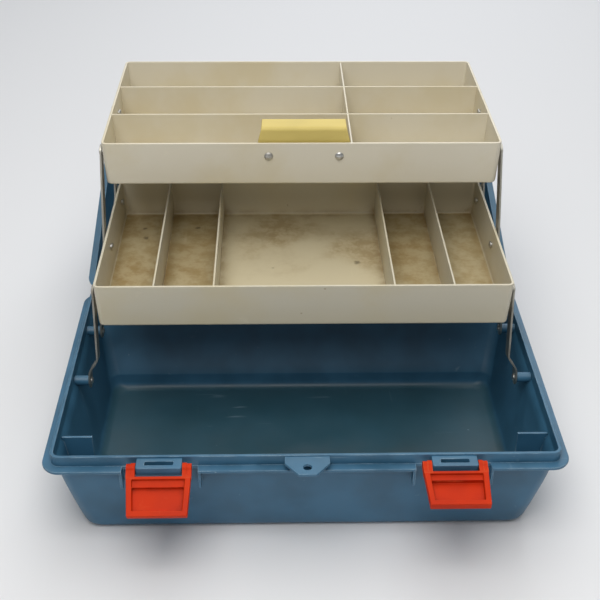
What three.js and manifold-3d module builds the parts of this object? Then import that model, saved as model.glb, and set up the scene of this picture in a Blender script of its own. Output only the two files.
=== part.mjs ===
// A hinged plastic workbox with two cantilever trays, modelled open.
// Millimetres, +X to the right, +Y to the back, +Z up.
// The origin is on the underside of the base, below the middle of its rim.

import * as THREE from 'three';
import { mergeVertices } from 'three/addons/utils/BufferGeometryUtils.js';
import Module from 'manifold-3d';

const wasm = await Module();
wasm.setup();

// ---------------------------------------------------------------- driving dimensions

const box = {
  length: 400, // over the rim flange, left to right
  depth: 242.5, // over the rim flange, front to back
  height: 80, // underside to the top of the flange
};

const rim = {
  radius: 14.5, // outer corner radius of both rims
  thickness: 2.6, // of both flanges
  tongueInset: 6.7, // flange edge to the outer face of the tongue
  tongueThickness: 2.6,
  tongueHeight: 8.9, // above the flange
};

const base = {
  wall: 2.5,
  floor: 3,
  wallInset: 9, // flange edge to the outer face of the wall below it
  endBelly: 14, // how far each end wall curves in down to the underside
  frontBelly: 12,
  backBelly: 31, // how far the back wall leans in down to its steep foot
  curve: 1.25, // 1 is a straight lean, 2 a full belly
  kickHeight: 18, // underside to the top of the back wall's steep foot
  kickLean: 1.5, // how much further that foot comes in
  topCorner: 9, // vertical corner radius below the flange
  bottomCorner: 14, // vertical corner radius at the underside
  bottomRound: 8, // radius between the walls and the underside
};

const gusset = {
  innerEnd: 34, // end of the box to the free edge of the corner plate
  setback: 40, // front of the box to the plate
  thickness: 2,
};

const lid = {
  wall: 2.4,
  frontDraft: 1.5, // degrees
  backDraft: 3, // degrees
  endBelly: 13, // how far each end wall curves in up to the top
  frontRound: 20,
  backRound: 36,
  endRound: 22,
  cornerGrowth: 4, // added to the vertical corner radius by the top
  headroom: 3, // over the pull when shut
  openAngle: 161.8, // degrees from shut
};

const hinge = {
  setback: 4, // rim edge to the pin's axis
  barrelRadius: 3.6,
  pinRadius: 1.5,
  knuckle: 14, // length of one knuckle
  knuckles: 5, // on one pin
  spacing: 220, // between the middles of the two hinges
  web: 3, // how far a knuckle's web reaches in over the rim
};

const tray = {
  height: 38.5,
  wall: 2,
  floor: 2,
  draft: 1.5, // each side, rim to underside
  corner: 5,
  divider: 1.7,
  dividerDrop: 0.8, // dividers stop this far below the rim
  sideRoom: 32.3, // end of the box to the rim of a tray
  frontRoom: 24, // front of the box to the rim of a shut tray
  backRoom: 32.6, // the same at the back
  restGap: 0.5, // shut middle tray over the corner plates
  stackGap: 1, // shut top tray over the middle tray
  middleDividers: [-120, -72.2, 72.2, 120], // across the box
  topCross: 41.5, // place of the front-to-back divider
  topRows: 3,
};

const link = {
  width: 12,
  thickness: 1.5,
  sideGap: 1.6, // tray rim to the strip
  joggle: 7.4, // sideways step at the foot
  joggleStart: 8.5, // from the foot pivot
  joggleRun: 11,
  swing: 83.5, // degrees, shut to open
  lowerLength: 78.6, // foot pivot to middle tray pivot
  upperLength: 81.4, // middle tray pivot to top tray pivot
  footDrop: 1.3, // flange top to the foot pivot
  pivotDrop: 14, // tray rim to its pivots
  frontInset: 15, // front of a tray to its first pivot
  backInset: 19.7, // back of the middle tray to its last pivot
  pastMiddle: 2.05, // middle of the top tray to its rear pivot
};

const rivet = {
  shank: 2,
  head: 3.2, // radius of the head
  headHeight: 1.5,
  tail: 3, // radius of the flat head at the other end
  tailHeight: 0.8,
  pull: 3.75, // radius of the pull rivets' heads
  pullSpacing: 59.4,
  pullDrop: 12, // tray rim to the pull rivets
};

const boss = {
  radius: 4.2, // of the round boss behind the foot of each link
};

const pull = {
  bottomWidth: 77,
  topWidth: 70,
  thickness: 2.2,
  rise: 14, // tray rim to the top
  lip: 14.5, // front to back
  lipSlope: 1.5, // rise of the lip over its own depth
  drop: 18, // tray rim to the lower edge
  bend: 2.5, // size of the bend outside
  innerBend: 1, // size of the bend inside
  corner: 4,
  offset: 1.5, // to the right of the middle
};

const latch = {
  spacing: 221, // between the two latches
  lugWidth: 34.3,
  lugReach: 4.5, // in front of the rim
  lugTop: 7.5, // above the flange
  lugBottom: 0.6,
  slotLength: 21.4,
  slotWidth: 3.9,
  pivotRise: 3.2, // above the flange
  pivotReach: -0.2, // in front of the rim
  slotShift: 1, // pivot to the middle of the slot
  trunnion: 2.4,
  stub: 5.9, // length of a trunnion
  topWidth: 49,
  tipWidth: 44.4,
  length: 37, // pivot to tip
  halfDepth: 3,
  border: 4.2,
  panel: 1.8,
  ear: 3.3, // thickness of each of the four ears
  innerEarRadius: 4.2,
  outerEarRadius: 3.6,
  earRoot: 1, // overlap of the ears with the bar
  barStart: 6.8, // pivot to the cross bar
  bar: 2.4,
  step: 6, // shallow shelf behind the bar
  stepRise: 1.8, // shelf above the panel
  catchDepth: 4.4,
  catchWidth: 30,
  catchRoom: 0.5, // under the catch
  bladeEnd: 2, // flange top to the end of the blade
  bladeLength: 20,
  bladeWidth: 2.6,
  leftTilt: 60, // degrees up from hanging, as modelled
  rightTilt: 80,
  guardDrop: 18,
  guard: 2,
  guardInset: 0.8, // rim edge to the front of a guard rib
  guardToe: 2, // cut off its lower front corner
  sideRoom: 4, // lever to guard rib
  notchRoom: 0.4, // tongue to the notch in the flange
  lidRoom: 1.5, // each side of the lever, in the lid's rim
};

const hasp = {
  rootWidth: 34,
  tipWidth: 13.5,
  straight: 5,
  reach: 13, // in front of the rim
  thickness: 2.5,
  hole: 3.25, // radius
  holeFromTip: 8,
  drop: 0.9, // top of the tongue to the top of the base's tab
};

const handle = {
  length: 132,
  reach: 41, // pivot axis to the far side of the grip
  band: 12, // width of the grip and the arms
  thickness: 9,
  corner: 9,
  underGap: 1, // folded handle over the top of the lid
  pin: 1.8,
  setback: 121, // front of the box to the pivot axis
  cheek: 3, // thickness of each cheek of the two brackets
  cheekRise: 5.5, // pivot axis to the top of a cheek
  cheekSlope: 2, // a cheek is this much longer at its root and shorter at its top
  innerCorner: 4, // corner radius inside the grip
  stopRise: 9, // pivot axis to the top of the stop behind the handle
  stop: 2.5,
};

const gap = 0.3; // between pieces that touch or run in each other
const rimGap = 0.6; // tongue to the wall of the lid
const cut = 1; // how far a cutter runs past what it cuts

// ---------------------------------------------------------------- derived sizes

const front = -box.depth / 2;
const back = box.depth / 2;
const flangeTop = box.height;
const radians = THREE.MathUtils.degToRad;

const trayLength = box.length - 2 * tray.sideRoom;
const trayDepth = box.depth - tray.frontRoom - tray.backRoom;
const upperSpacing = trayDepth / 2 + link.pastMiddle - link.frontInset; // between the upper pair's pivots
const middlePivot = trayDepth - link.backInset - upperSpacing;
const rearPivot = trayDepth - link.backInset;

const lowerRise = tray.restGap + tray.height - link.pivotDrop + link.footDrop;
const upperRise = tray.height + tray.stackGap;
const shutLower = new THREE.Vector2(-Math.sqrt(link.lowerLength ** 2 - lowerRise ** 2), lowerRise);
const shutUpper = new THREE.Vector2(-Math.sqrt(link.upperLength ** 2 - upperRise ** 2), upperRise);
const origin2 = new THREE.Vector2();
const openLower = shutLower.clone().rotateAround(origin2, -radians(link.swing));
const openUpper = shutUpper.clone().rotateAround(origin2, -radians(link.swing));

const footHeight = flangeTop - link.footDrop;
const longFoot = front + tray.frontRoom + middlePivot - shutLower.x;
const shortFoot = longFoot - (middlePivot - link.frontInset);
const middleFront = longFoot + openLower.x - middlePivot;
const middleBottom = footHeight + openLower.y + link.pivotDrop - tray.height;
const topFront = longFoot + openLower.x + openUpper.x - link.frontInset;
const topBottom = middleBottom + openUpper.y;

const linkInner = trayLength / 2 + link.sideGap;
const linkOuter = linkInner + link.thickness;
const footInner = linkInner + link.joggle;
const footOuter = footInner + link.thickness;
const shankEnd = box.length / 2 - rim.tongueInset - rim.tongueThickness / 2 - 1; // of a foot rivet

const shutStack = tray.restGap + 2 * tray.height + tray.stackGap;
const lidInnerHeight = shutStack + pull.rise + lid.headroom;
const lidHeight = lidInnerHeight + lid.wall;
const lidFloor = 0.4; // underside of the lid's flange over the base's
const lidInset = rim.tongueInset - rimGap; // rim edge to the inner face of the lid
const lidOuterInset = lidInset - lid.wall;
const lidTaperStart = rim.tongueHeight + gap; // the lid's walls lean in from here up
const handlePivotZ = lidHeight + handle.underGap + handle.thickness / 2;
const hingeY = back + hinge.setback;

const latchPivotY = front - latch.pivotReach;
const latchPivotZ = flangeTop + latch.pivotRise;
const catchBottom = Math.max(latch.lugTop, latch.pivotRise + latch.innerEarRadius) + latch.catchRoom;
const catchTop = latch.pivotRise + latch.barStart - gap;

// ---------------------------------------------------------------- materials

const material = (color, roughness, metalness = 0) =>
  new THREE.MeshStandardMaterial({ color, roughness, metalness });

const bluePlastic = material(0x3f6f96, 0.45);
const creamPlastic = material(0xd6ccb4, 0.5);
const orangePlastic = material(0xd9431c, 0.4);
const yellowPlastic = material(0xd8c46a, 0.45);
const platedSteel = material(0xb4b2a8, 0.35, 0.9);
const brightMetal = material(0xc4c4c2, 0.3, 0.9);

// ---------------------------------------------------------------- solids

/** Turn a closed three.js geometry into a solid that can be joined and cut. */
function solid(geometry) {
  const bare = geometry.index ? geometry.toNonIndexed() : geometry;
  bare.deleteAttribute('normal');
  bare.deleteAttribute('uv');
  const merged = mergeVertices(bare, 1e-4);
  return new wasm.Manifold(new wasm.Mesh({
    numProp: 3,
    vertProperties: Float32Array.from(merged.getAttribute('position').array),
    triVerts: Uint32Array.from(merged.index.array),
  }));
}

/** Give a solid back as a named mesh. */
function mesh(name, shape, finish) {
  const data = shape.getMesh();
  const geometry = new THREE.BufferGeometry();
  geometry.setAttribute('position', new THREE.BufferAttribute(data.vertProperties, 3));
  geometry.setIndex(new THREE.BufferAttribute(data.triVerts, 1));
  geometry.computeVertexNormals();
  const result = new THREE.Mesh(geometry, finish);
  result.name = name;
  return result;
}

/** A block between two corners. */
function block(x0, x1, y0, y1, z0, z1) {
  const geometry = new THREE.BoxGeometry(x1 - x0, y1 - y0, z1 - z0);
  return solid(geometry.translate((x0 + x1) / 2, (y0 + y1) / 2, (z0 + z1) / 2));
}

/** A round bar along X. */
function barX(radius, x0, x1, y, z, sides = 20) {
  const geometry = new THREE.CylinderGeometry(radius, radius, x1 - x0, sides);
  return solid(geometry.rotateZ(Math.PI / 2).translate((x0 + x1) / 2, y, z));
}

/** A round bar along Z. */
function barZ(radius, x, y, z0, z1, sides = 20) {
  const geometry = new THREE.CylinderGeometry(radius, radius, z1 - z0, sides);
  return solid(geometry.rotateX(Math.PI / 2).translate(x, y, (z0 + z1) / 2));
}

/** A round bar along Y. */
function barY(radius, x, y0, y1, z, sides = 20) {
  const geometry = new THREE.CylinderGeometry(radius, radius, y1 - y0, sides);
  return solid(geometry.translate(x, (y0 + y1) / 2, z));
}

/** An outline of straight edges, from a list of [u, v] corners. */
function outline(corners) {
  return new THREE.Shape(corners.map(([u, v]) => new THREE.Vector2(u, v)));
}

/** A flat plate: the outline lies in X and Y, the thickness along Z. */
function plateZ(shape, z0, z1, curveSegments = 6) {
  const options = { depth: z1 - z0, bevelEnabled: false, curveSegments };
  return solid(new THREE.ExtrudeGeometry(shape, options).translate(0, 0, z0));
}

/** A flat plate: the outline lies in Y and Z, the thickness along X. */
function plateX(shape, x0, x1, curveSegments = 6) {
  const geometry = new THREE.ExtrudeGeometry(shape, { depth: x1 - x0, bevelEnabled: false, curveSegments });
  const turn = new THREE.Matrix4().makeBasis(
    new THREE.Vector3(0, 1, 0), new THREE.Vector3(0, 0, 1), new THREE.Vector3(1, 0, 0));
  return solid(geometry.applyMatrix4(turn).translate(x0, 0, 0));
}

/** A flat plate: the outline lies in X and Z, the thickness along Y. */
function plateY(shape, y0, y1, curveSegments = 6) {
  const options = { depth: y1 - y0, bevelEnabled: false, curveSegments };
  const geometry = new THREE.ExtrudeGeometry(shape, options).rotateX(Math.PI / 2);
  return solid(geometry.translate(0, y1, 0));
}

/** A rectangle with round corners, centred on the origin. */
function roundedRectangle(width, height, radius) {
  const x = width / 2 - radius;
  const y = height / 2 - radius;
  const shape = new THREE.Shape();
  shape.absarc(x, y, radius, 0, Math.PI / 2);
  shape.absarc(-x, y, radius, Math.PI / 2, Math.PI);
  shape.absarc(-x, -y, radius, Math.PI, 1.5 * Math.PI);
  shape.absarc(x, -y, radius, 1.5 * Math.PI, 2 * Math.PI);
  shape.closePath();
  return shape;
}

/** A strip outline with a round end about each of two points. */
function strip(from, to, width) {
  const along = Math.atan2(to.y - from.y, to.x - from.x);
  const shape = new THREE.Shape();
  shape.absarc(to.x, to.y, width / 2, along - Math.PI / 2, along + Math.PI / 2);
  shape.absarc(from.x, from.y, width / 2, along + Math.PI / 2, along + 1.5 * Math.PI);
  shape.closePath();
  return shape;
}

/**
 * A solid through round-cornered level sections, lowest first. Each level has
 * z, halfLength, front, back and radius.
 */
function loft(levels, cornerSteps = 4) {
  const last = levels.length - 1;
  const options = { depth: last, steps: last, bevelEnabled: false, curveSegments: cornerSteps };
  const geometry = new THREE.ExtrudeGeometry(roundedRectangle(2, 2, 0.5), options);
  const position = geometry.getAttribute('position');
  for (let i = 0; i < position.count; i += 1) {
    const level = levels[Math.round(position.getZ(i))];
    const halfDepth = (level.back - level.front) / 2;
    const spread = (value, half) =>
      Math.sign(value) * (half - level.radius + (2 * Math.abs(value) - 1) * level.radius);
    const x = spread(position.getX(i), level.halfLength);
    const y = (level.back + level.front) / 2 + spread(position.getY(i), halfDepth);
    position.setXYZ(i, x, y, level.z);
  }
  return solid(geometry);
}

/** A level section set in from the rim's outline by the same amount all round. */
function inset(z, amount, radius = Math.max(rim.radius - amount, 1)) {
  return {
    z,
    halfLength: box.length / 2 - amount,
    front: front + amount,
    back: back - amount,
    radius,
  };
}

/** How far a rounding of this radius brings a wall in, at a distance before its end. */
function roundInset(before, radius) {
  if (before >= radius) return 0;
  return radius - Math.sqrt(radius ** 2 - (radius - before) ** 2);
}

/** The same solid on the other side of the YZ plane. */
function mirrored(shape) {
  return shape.mirror([1, 0, 0]);
}

/** A solid and its mirror image, joined. */
function pair(shape) {
  return shape.add(mirrored(shape));
}

// ---------------------------------------------------------------- base

/** How far the back wall has come in at a height: it leans, then drops to a steep foot. */
function backLean(z) {
  const depth = Math.min((flangeTop - z) / (flangeTop - base.kickHeight), 1);
  const foot = Math.max(1 - z / base.kickHeight, 0);
  return base.backBelly * depth ** base.curve + base.kickLean * foot;
}

/** One level section of the base's wall; `skin` is 0 for the outside, or the wall. */
function baseLevel(z, skin, bottom) {
  const depth = (flangeTop - z) / box.height;
  const round = roundInset(z - bottom, base.bottomRound - skin / 2);
  const edge = base.wallInset + skin + round;
  return {
    z,
    halfLength: box.length / 2 - edge - base.endBelly * depth ** base.curve,
    front: front + edge + base.frontBelly * depth ** base.curve,
    back: back - edge - backLean(z),
    radius: base.topCorner + (base.bottomCorner - base.topCorner) * depth - skin,
  };
}

/** The level sections of one face of the base's wall, lowest first. */
function baseLevels(skin, bottom, top) {
  const round = base.bottomRound - skin / 2;
  const heights = [0, 0.12, 0.45, 1].map((share) => bottom + share * round);
  const wallSteps = 4;
  for (let step = 0; step <= wallSteps; step += 1) {
    heights.push(base.kickHeight + (top - base.kickHeight) * (step / wallSteps));
  }
  return heights.map((z) => baseLevel(z, skin, bottom));
}

function baseCavity() {
  const shoulder = flangeTop - rim.thickness - gap;
  const mouth = rim.tongueInset + rim.tongueThickness;
  const levels = baseLevels(base.wall, base.floor, shoulder);
  levels.push(inset(flangeTop + rim.thickness / 2, mouth));
  levels.push(inset(flangeTop + rim.tongueHeight + cut, mouth));
  return loft(levels);
}

function flangePlate() {
  return loft([inset(flangeTop - rim.thickness, 0), inset(flangeTop, 0)]);
}

function tongueBlock() {
  const z0 = flangeTop - rim.thickness / 2;
  const z1 = flangeTop + rim.tongueHeight;
  return loft([inset(z0, rim.tongueInset), inset(z1, rim.tongueInset)]);
}

/** The plate that stands across each front corner and carries the shut trays. */
function cornerPlates() {
  const inner = box.length / 2 - gusset.innerEnd;
  const outer = box.length / 2 - base.wallInset - base.wall / 2;
  const y0 = front + gusset.setback;
  return pair(block(-outer, -inner, y0, y0 + gusset.thickness, base.floor / 2, flangeTop));
}

/** The same round bar along X at both foot pivots, and its mirror image. */
function atFeet(radius, x0, x1) {
  const bars = [longFoot, shortFoot].map((y) => barX(radius, x0, x1, y, footHeight));
  return pair(bars[0].add(bars[1]));
}

/** Round bosses inside the end walls, which the feet of the links are riveted to. */
function footBosses() {
  return atFeet(boss.radius, footOuter + gap, shankEnd + cut);
}

function footHoles() {
  return atFeet(rivet.shank + gap, footOuter - cut, shankEnd + gap);
}

/** The lug that one latch turns on, with its round stubs and its slot. */
function latchLug(x) {
  const half = latch.lugWidth / 2;
  const y0 = front - latch.lugReach;
  const y1 = front + rim.tongueInset + rim.tongueThickness / 2;
  const z0 = flangeTop + latch.lugBottom;
  const z1 = flangeTop + latch.lugTop;
  const body = block(x - half, x + half, y0, y1, z0, z1);
  const stubs = half + latch.stub;
  const stub = barX(latch.trunnion, x - stubs, x + stubs, latchPivotY, latchPivotZ);
  const slotHalf = latch.slotLength / 2;
  const slotMiddle = latchPivotY + latch.slotShift;
  const slot = block(x - slotHalf, x + slotHalf, slotMiddle - latch.slotWidth / 2,
    slotMiddle + latch.slotWidth / 2, z0 - cut, z1 + cut);
  return body.add(stub).subtract(slot);
}

/** Room for one lever in the front of the flange. */
function latchNotch(x) {
  const half = latch.topWidth / 2 + latch.sideRoom;
  const y1 = front + rim.tongueInset - latch.notchRoom;
  return block(x - half, x + half, front - cut, y1, flangeTop - rim.thickness - cut, flangeTop + cut);
}

/** The ribs that hang below the flange on both sides of one lever. */
function guardRibs(x) {
  const inner = latch.topWidth / 2 + latch.sideRoom;
  const top = flangeTop - rim.thickness / 2;
  const z0 = top - latch.guardDrop;
  const join = baseLevel(z0, base.wall / 2, 0).front;
  const edge = front + latch.guardInset;
  const profile = outline([
    [join, z0],
    [join, top],
    [edge, top],
    [edge, z0 + latch.guardToe],
    [edge + latch.guardToe, z0],
  ]);
  const right = plateX(profile, x + inner, x + inner + latch.guard);
  const left = plateX(profile, x - inner - latch.guard, x - inner);
  return right.add(left);
}

/** The padlock tab: a short straight root, then a taper to a blunt tip. */
function haspTab(root, tip, z0, z1) {
  const rootHalf = hasp.rootWidth / 2;
  const tipHalf = hasp.tipWidth / 2;
  const holeY = tip + hasp.holeFromTip;
  const shoulder = front + rim.tongueInset - lid.wall - hasp.straight;
  const plate = plateZ(outline([
    [-rootHalf, root],
    [-rootHalf, shoulder],
    [-tipHalf, tip],
    [tipHalf, tip],
    [rootHalf, shoulder],
    [rootHalf, root],
  ]), z0, z1);
  return plate.subtract(barZ(hasp.hole, 0, holeY, z0 - cut, z1 + cut, 12));
}

function baseHasp() {
  const z1 = flangeTop + rim.tongueHeight - hasp.drop;
  const root = front + rim.tongueInset + rim.tongueThickness / 2;
  return haspTab(root, front - hasp.reach, z1 - hasp.thickness, z1);
}

/** Knuckles of one rim: every second one from `first`, about the hinge axis at y, z. */
function knuckles(first, y, z, webLow, webHigh) {
  const pitch = hinge.knuckle + gap;
  let all = null;
  for (const side of [-1, 1]) {
    for (let k = first; k < hinge.knuckles; k += 2) {
      const middle = side * hinge.spacing / 2 + (k - (hinge.knuckles - 1) / 2) * pitch;
      const x0 = middle - hinge.knuckle / 2;
      const x1 = middle + hinge.knuckle / 2;
      const barrel = barX(hinge.barrelRadius, x0, x1, y, z);
      const web = block(x0, x1, y - hinge.setback - hinge.web, y, z + webLow, z + webHigh);
      const knuckle = barrel.add(web);
      all = all ? all.add(knuckle) : knuckle;
    }
  }
  return all;
}

/** The bores for both hinge pins. */
function hingeBores(y, z) {
  const half = hinge.spacing / 2 + hinge.knuckles * hinge.knuckle;
  return barX(hinge.pinRadius + gap, -half, half, y, z);
}

function baseShell() {
  const wall = loft(baseLevels(0, 0, flangeTop - rim.thickness / 2));
  const body = wall.add(flangePlate()).add(tongueBlock());
  const fittings = cornerPlates().add(footBosses()).intersect(body);
  let shell = body;
  for (const side of [-1, 1]) {
    shell = shell.add(guardRibs(side * latch.spacing / 2));
    shell = shell.subtract(latchNotch(side * latch.spacing / 2));
  }
  shell = shell.subtract(baseCavity()).add(fittings).subtract(footHoles());
  for (const side of [-1, 1]) {
    shell = shell.add(latchLug(side * latch.spacing / 2));
  }
  shell = shell.add(baseHasp());
  shell = shell.add(knuckles(0, hingeY, flangeTop, -rim.thickness, -gap));
  return shell.subtract(hingeBores(hingeY, flangeTop));
}

// ---------------------------------------------------------------- lid

// The lid is drawn shut, in a group whose origin is the hinge axis.

/** One level section of the lid's wall, with its rounding into the top. */
function lidLevel(z, skin, top) {
  const above = Math.max(z - lidTaperStart, 0);
  const share = above / lidHeight;
  const before = top - z;
  const edge = lidOuterInset + skin;
  const taper = (degrees) => Math.tan(radians(degrees)) * above;
  return {
    z,
    halfLength: box.length / 2 - edge - lid.endBelly * share ** 2 - roundInset(before, lid.endRound - skin),
    front: front + edge + taper(lid.frontDraft) + roundInset(before, lid.frontRound - skin),
    back: back - edge - taper(lid.backDraft) - roundInset(before, lid.backRound - skin),
    radius: rim.radius - edge + lid.cornerGrowth * share,
  };
}

function lidLevels(skin, bottom, top) {
  const round = lid.backRound - skin;
  const heights = [bottom, lidTaperStart, top - round];
  const roundSteps = 5;
  for (let step = 1; step <= roundSteps; step += 1) {
    heights.push(top - round + round * Math.sin((step / roundSteps) * Math.PI / 2));
  }
  return heights.map((z) => lidLevel(z, skin, top));
}

/** The two brackets on top of the lid that the carry handle turns in. */
function handleBrackets() {
  const y = front + handle.setback;
  const arm = handle.band + 2 * gap;
  const inner = handle.length / 2 + gap - arm;
  const outer = handle.length / 2 + gap;
  const stopFace = handle.thickness / 2 + gap;
  const root = lidHeight - lid.wall / 2;
  const stopBack = y + stopFace + handle.stop;
  const cheekTop = handlePivotZ + handle.cheekRise;
  const cheek = outline([
    [y - handle.cheekRise - handle.cheekSlope, root],
    [stopBack, root],
    [stopBack, cheekTop],
    [y - handle.cheekRise + handle.cheekSlope, cheekTop],
    [y - handle.cheekRise, handlePivotZ],
  ]);
  const innerCheek = plateX(cheek, inner - handle.cheek, inner);
  const outerCheek = plateX(cheek, outer, outer + handle.cheek);
  const stopTop = handlePivotZ + handle.stopRise;
  const stop = block(inner - handle.cheek, outer + handle.cheek, y + stopFace, stopBack, root, stopTop);
  return pair(innerCheek.add(outerCheek).add(stop));
}

function handlePinHoles() {
  const half = handle.length;
  return barX(handle.pin + gap, -half, half, front + handle.setback, handlePivotZ);
}

/** The catch that one lever's bar hooks over, with a blade for the lug's slot. */
function lidCatch(x) {
  const half = latch.catchWidth / 2;
  const wallFace = front + lidOuterInset;
  const ledgeFront = wallFace - latch.catchDepth;
  const ledge = block(x - half, x + half, ledgeFront, wallFace + lid.wall / 2, catchBottom, catchTop);
  const bladeHalf = latch.bladeLength / 2;
  const bladeFront = latchPivotY + latch.slotShift - latch.bladeWidth / 2;
  const blade = block(x - bladeHalf, x + bladeHalf, bladeFront, bladeFront + latch.bladeWidth,
    latch.bladeEnd, (catchBottom + catchTop) / 2);
  return ledge.add(blade);
}

/** Room in the front of the lid's rim, for a lug and its lever or for the base's tab. */
function lidNotch(x, half, top) {
  return block(x - half, x + half, front - cut, front + lidInset + cut, -cut, top);
}

function lidShell() {
  const rimFoot = lidFloor + rim.thickness;
  let shell = loft(lidLevels(0, lidFloor, lidHeight));
  shell = shell.add(loft([inset(lidFloor, 0), inset(rimFoot, 0)]));
  const hollow = lidLevels(lid.wall, lidFloor, lidInnerHeight);
  hollow[0].z -= cut;
  shell = shell.subtract(loft(hollow));
  shell = shell.add(handleBrackets()).subtract(handlePinHoles());
  for (const side of [-1, 1]) {
    const x = side * latch.spacing / 2;
    shell = shell.subtract(lidNotch(x, latch.topWidth / 2 + latch.lidRoom, catchBottom));
    shell = shell.add(lidCatch(x));
  }
  const tabBottom = rim.tongueHeight - hasp.drop + gap;
  shell = shell.subtract(lidNotch(0, hasp.rootWidth / 2 + rimGap, tabBottom));
  const root = front + lidOuterInset + lid.wall / 2;
  shell = shell.add(haspTab(root, front - hasp.reach, tabBottom, tabBottom + hasp.thickness));
  shell = shell.translate([0, -hingeY, 0]);
  shell = shell.add(knuckles(1, 0, 0, lidFloor, rimFoot));
  return shell.subtract(hingeBores(0, 0));
}

/** The folding carry handle, lying flat, about its own pivot axis. */
function carryHandle() {
  const half = handle.length / 2;
  const far = -handle.reach;
  const near = handle.band / 2;
  const inner = half - handle.band;
  const turn = handle.innerCorner;
  const shape = new THREE.Shape();
  shape.moveTo(half, near);
  shape.lineTo(inner, near);
  shape.lineTo(inner, far + handle.band + turn);
  shape.absarc(inner - turn, far + handle.band + turn, turn, 0, -Math.PI / 2, true);
  shape.absarc(turn - inner, far + handle.band + turn, turn, -Math.PI / 2, -Math.PI, true);
  shape.lineTo(-inner, near);
  shape.lineTo(-half, near);
  shape.absarc(-half + handle.corner, far + handle.corner, handle.corner, Math.PI, 1.5 * Math.PI);
  shape.absarc(half - handle.corner, far + handle.corner, handle.corner, 1.5 * Math.PI, 2 * Math.PI);
  shape.closePath();
  const plate = plateZ(shape, -handle.thickness / 2, handle.thickness / 2);
  const gripEnd = new THREE.Vector2(far + handle.thickness / 2, 0);
  const rounding = plateX(strip(gripEnd, origin2, handle.thickness), -half - cut, half + cut);
  return plate.intersect(rounding).subtract(barX(handle.pin + gap, -half - cut, half + cut, 0, 0));
}

/** One of the two pins through the handle and the cheeks of its bracket. */
function handlePin(side) {
  const outer = handle.length / 2 + handle.cheek;
  const inner = handle.length / 2 - handle.band - handle.cheek;
  const pin = barX(handle.pin, inner, outer, 0, 0, 16);
  return side > 0 ? pin : mirrored(pin);
}

/** One of the two hinge pins, along X about the hinge axis. */
function hingePin() {
  const half = (hinge.knuckles * (hinge.knuckle + gap)) / 2;
  return barX(hinge.pinRadius, -half, half, 0, 0, 16);
}

// ---------------------------------------------------------------- trays

// A tray is drawn from the middle of its lower front edge: y runs back, z up.

function traySection(z, skin) {
  const lean = tray.draft * (1 - z / tray.height);
  return {
    z,
    halfLength: trayLength / 2 - lean - skin,
    front: lean + skin,
    back: trayDepth - lean - skin,
    radius: tray.corner - skin,
  };
}

/** A tray's pivots are holes through both end walls, at these distances from its front. */
function trayHoles(places) {
  const hole = (y) => barX(rivet.shank + gap, -trayLength, trayLength, y, tray.height - link.pivotDrop);
  return places.map(hole).reduce((all, next) => all.add(next));
}

/** The space inside a tray, kept clear of its walls and floor by a distance. */
function trayRoom(clear) {
  const low = traySection(tray.floor, tray.wall + clear);
  const high = traySection(tray.height, tray.wall + clear);
  return loft([{ ...low, z: tray.floor + clear }, { ...high, z: tray.height + cut }], 3);
}

function trayShell(dividers, holes) {
  const outer = loft([traySection(0, 0), traySection(tray.height, 0)], 3);
  let shell = outer.subtract(trayRoom(0));
  for (const divider of dividers) {
    shell = shell.add(divider.intersect(outer));
  }
  return shell.subtract(holes);
}

/** A divider that runs front to back. */
function lengthDivider(x) {
  const half = tray.divider / 2;
  const top = tray.height - tray.dividerDrop;
  return block(x - half, x + half, tray.wall / 2, trayDepth - tray.wall / 2, tray.floor / 2, top);
}

/** A divider that runs left to right between two places. */
function crossDivider(y, x0, x1) {
  const half = tray.divider / 2;
  const top = tray.height - tray.dividerDrop;
  return block(x0, x1, y - half, y + half, tray.floor / 2, top);
}

function middleTray() {
  const dividers = tray.middleDividers.map(lengthDivider);
  return trayShell(dividers, trayHoles([link.frontInset, middlePivot, rearPivot]));
}

function topTray() {
  let shell = trayShell([], trayHoles([link.frontInset, link.frontInset + upperSpacing]));
  for (const side of [-1, 1]) {
    const x = pull.offset + side * rivet.pullSpacing / 2;
    shell = shell.subtract(barY(rivet.shank + gap, x, -cut, 3 * tray.wall, tray.height - rivet.pullDrop));
  }
  return shell;
}

/** The dividers of the top tray, each a named plate that stands inside it. */
function topDividers() {
  const side = tray.divider / 2 + gap;
  const plates = { long: lengthDivider(tray.topCross) };
  for (let row = 1; row < tray.topRows; row += 1) {
    const y = (trayDepth * row) / tray.topRows;
    plates[`${row}_left`] = crossDivider(y, -trayLength / 2, tray.topCross - side);
    plates[`${row}_right`] = crossDivider(y, tray.topCross + side, trayLength / 2);
  }
  const room = trayRoom(gap);
  return Object.entries(plates).map(([name, plate]) => [`top_divider_${name}`, plate.intersect(room)]);
}

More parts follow.
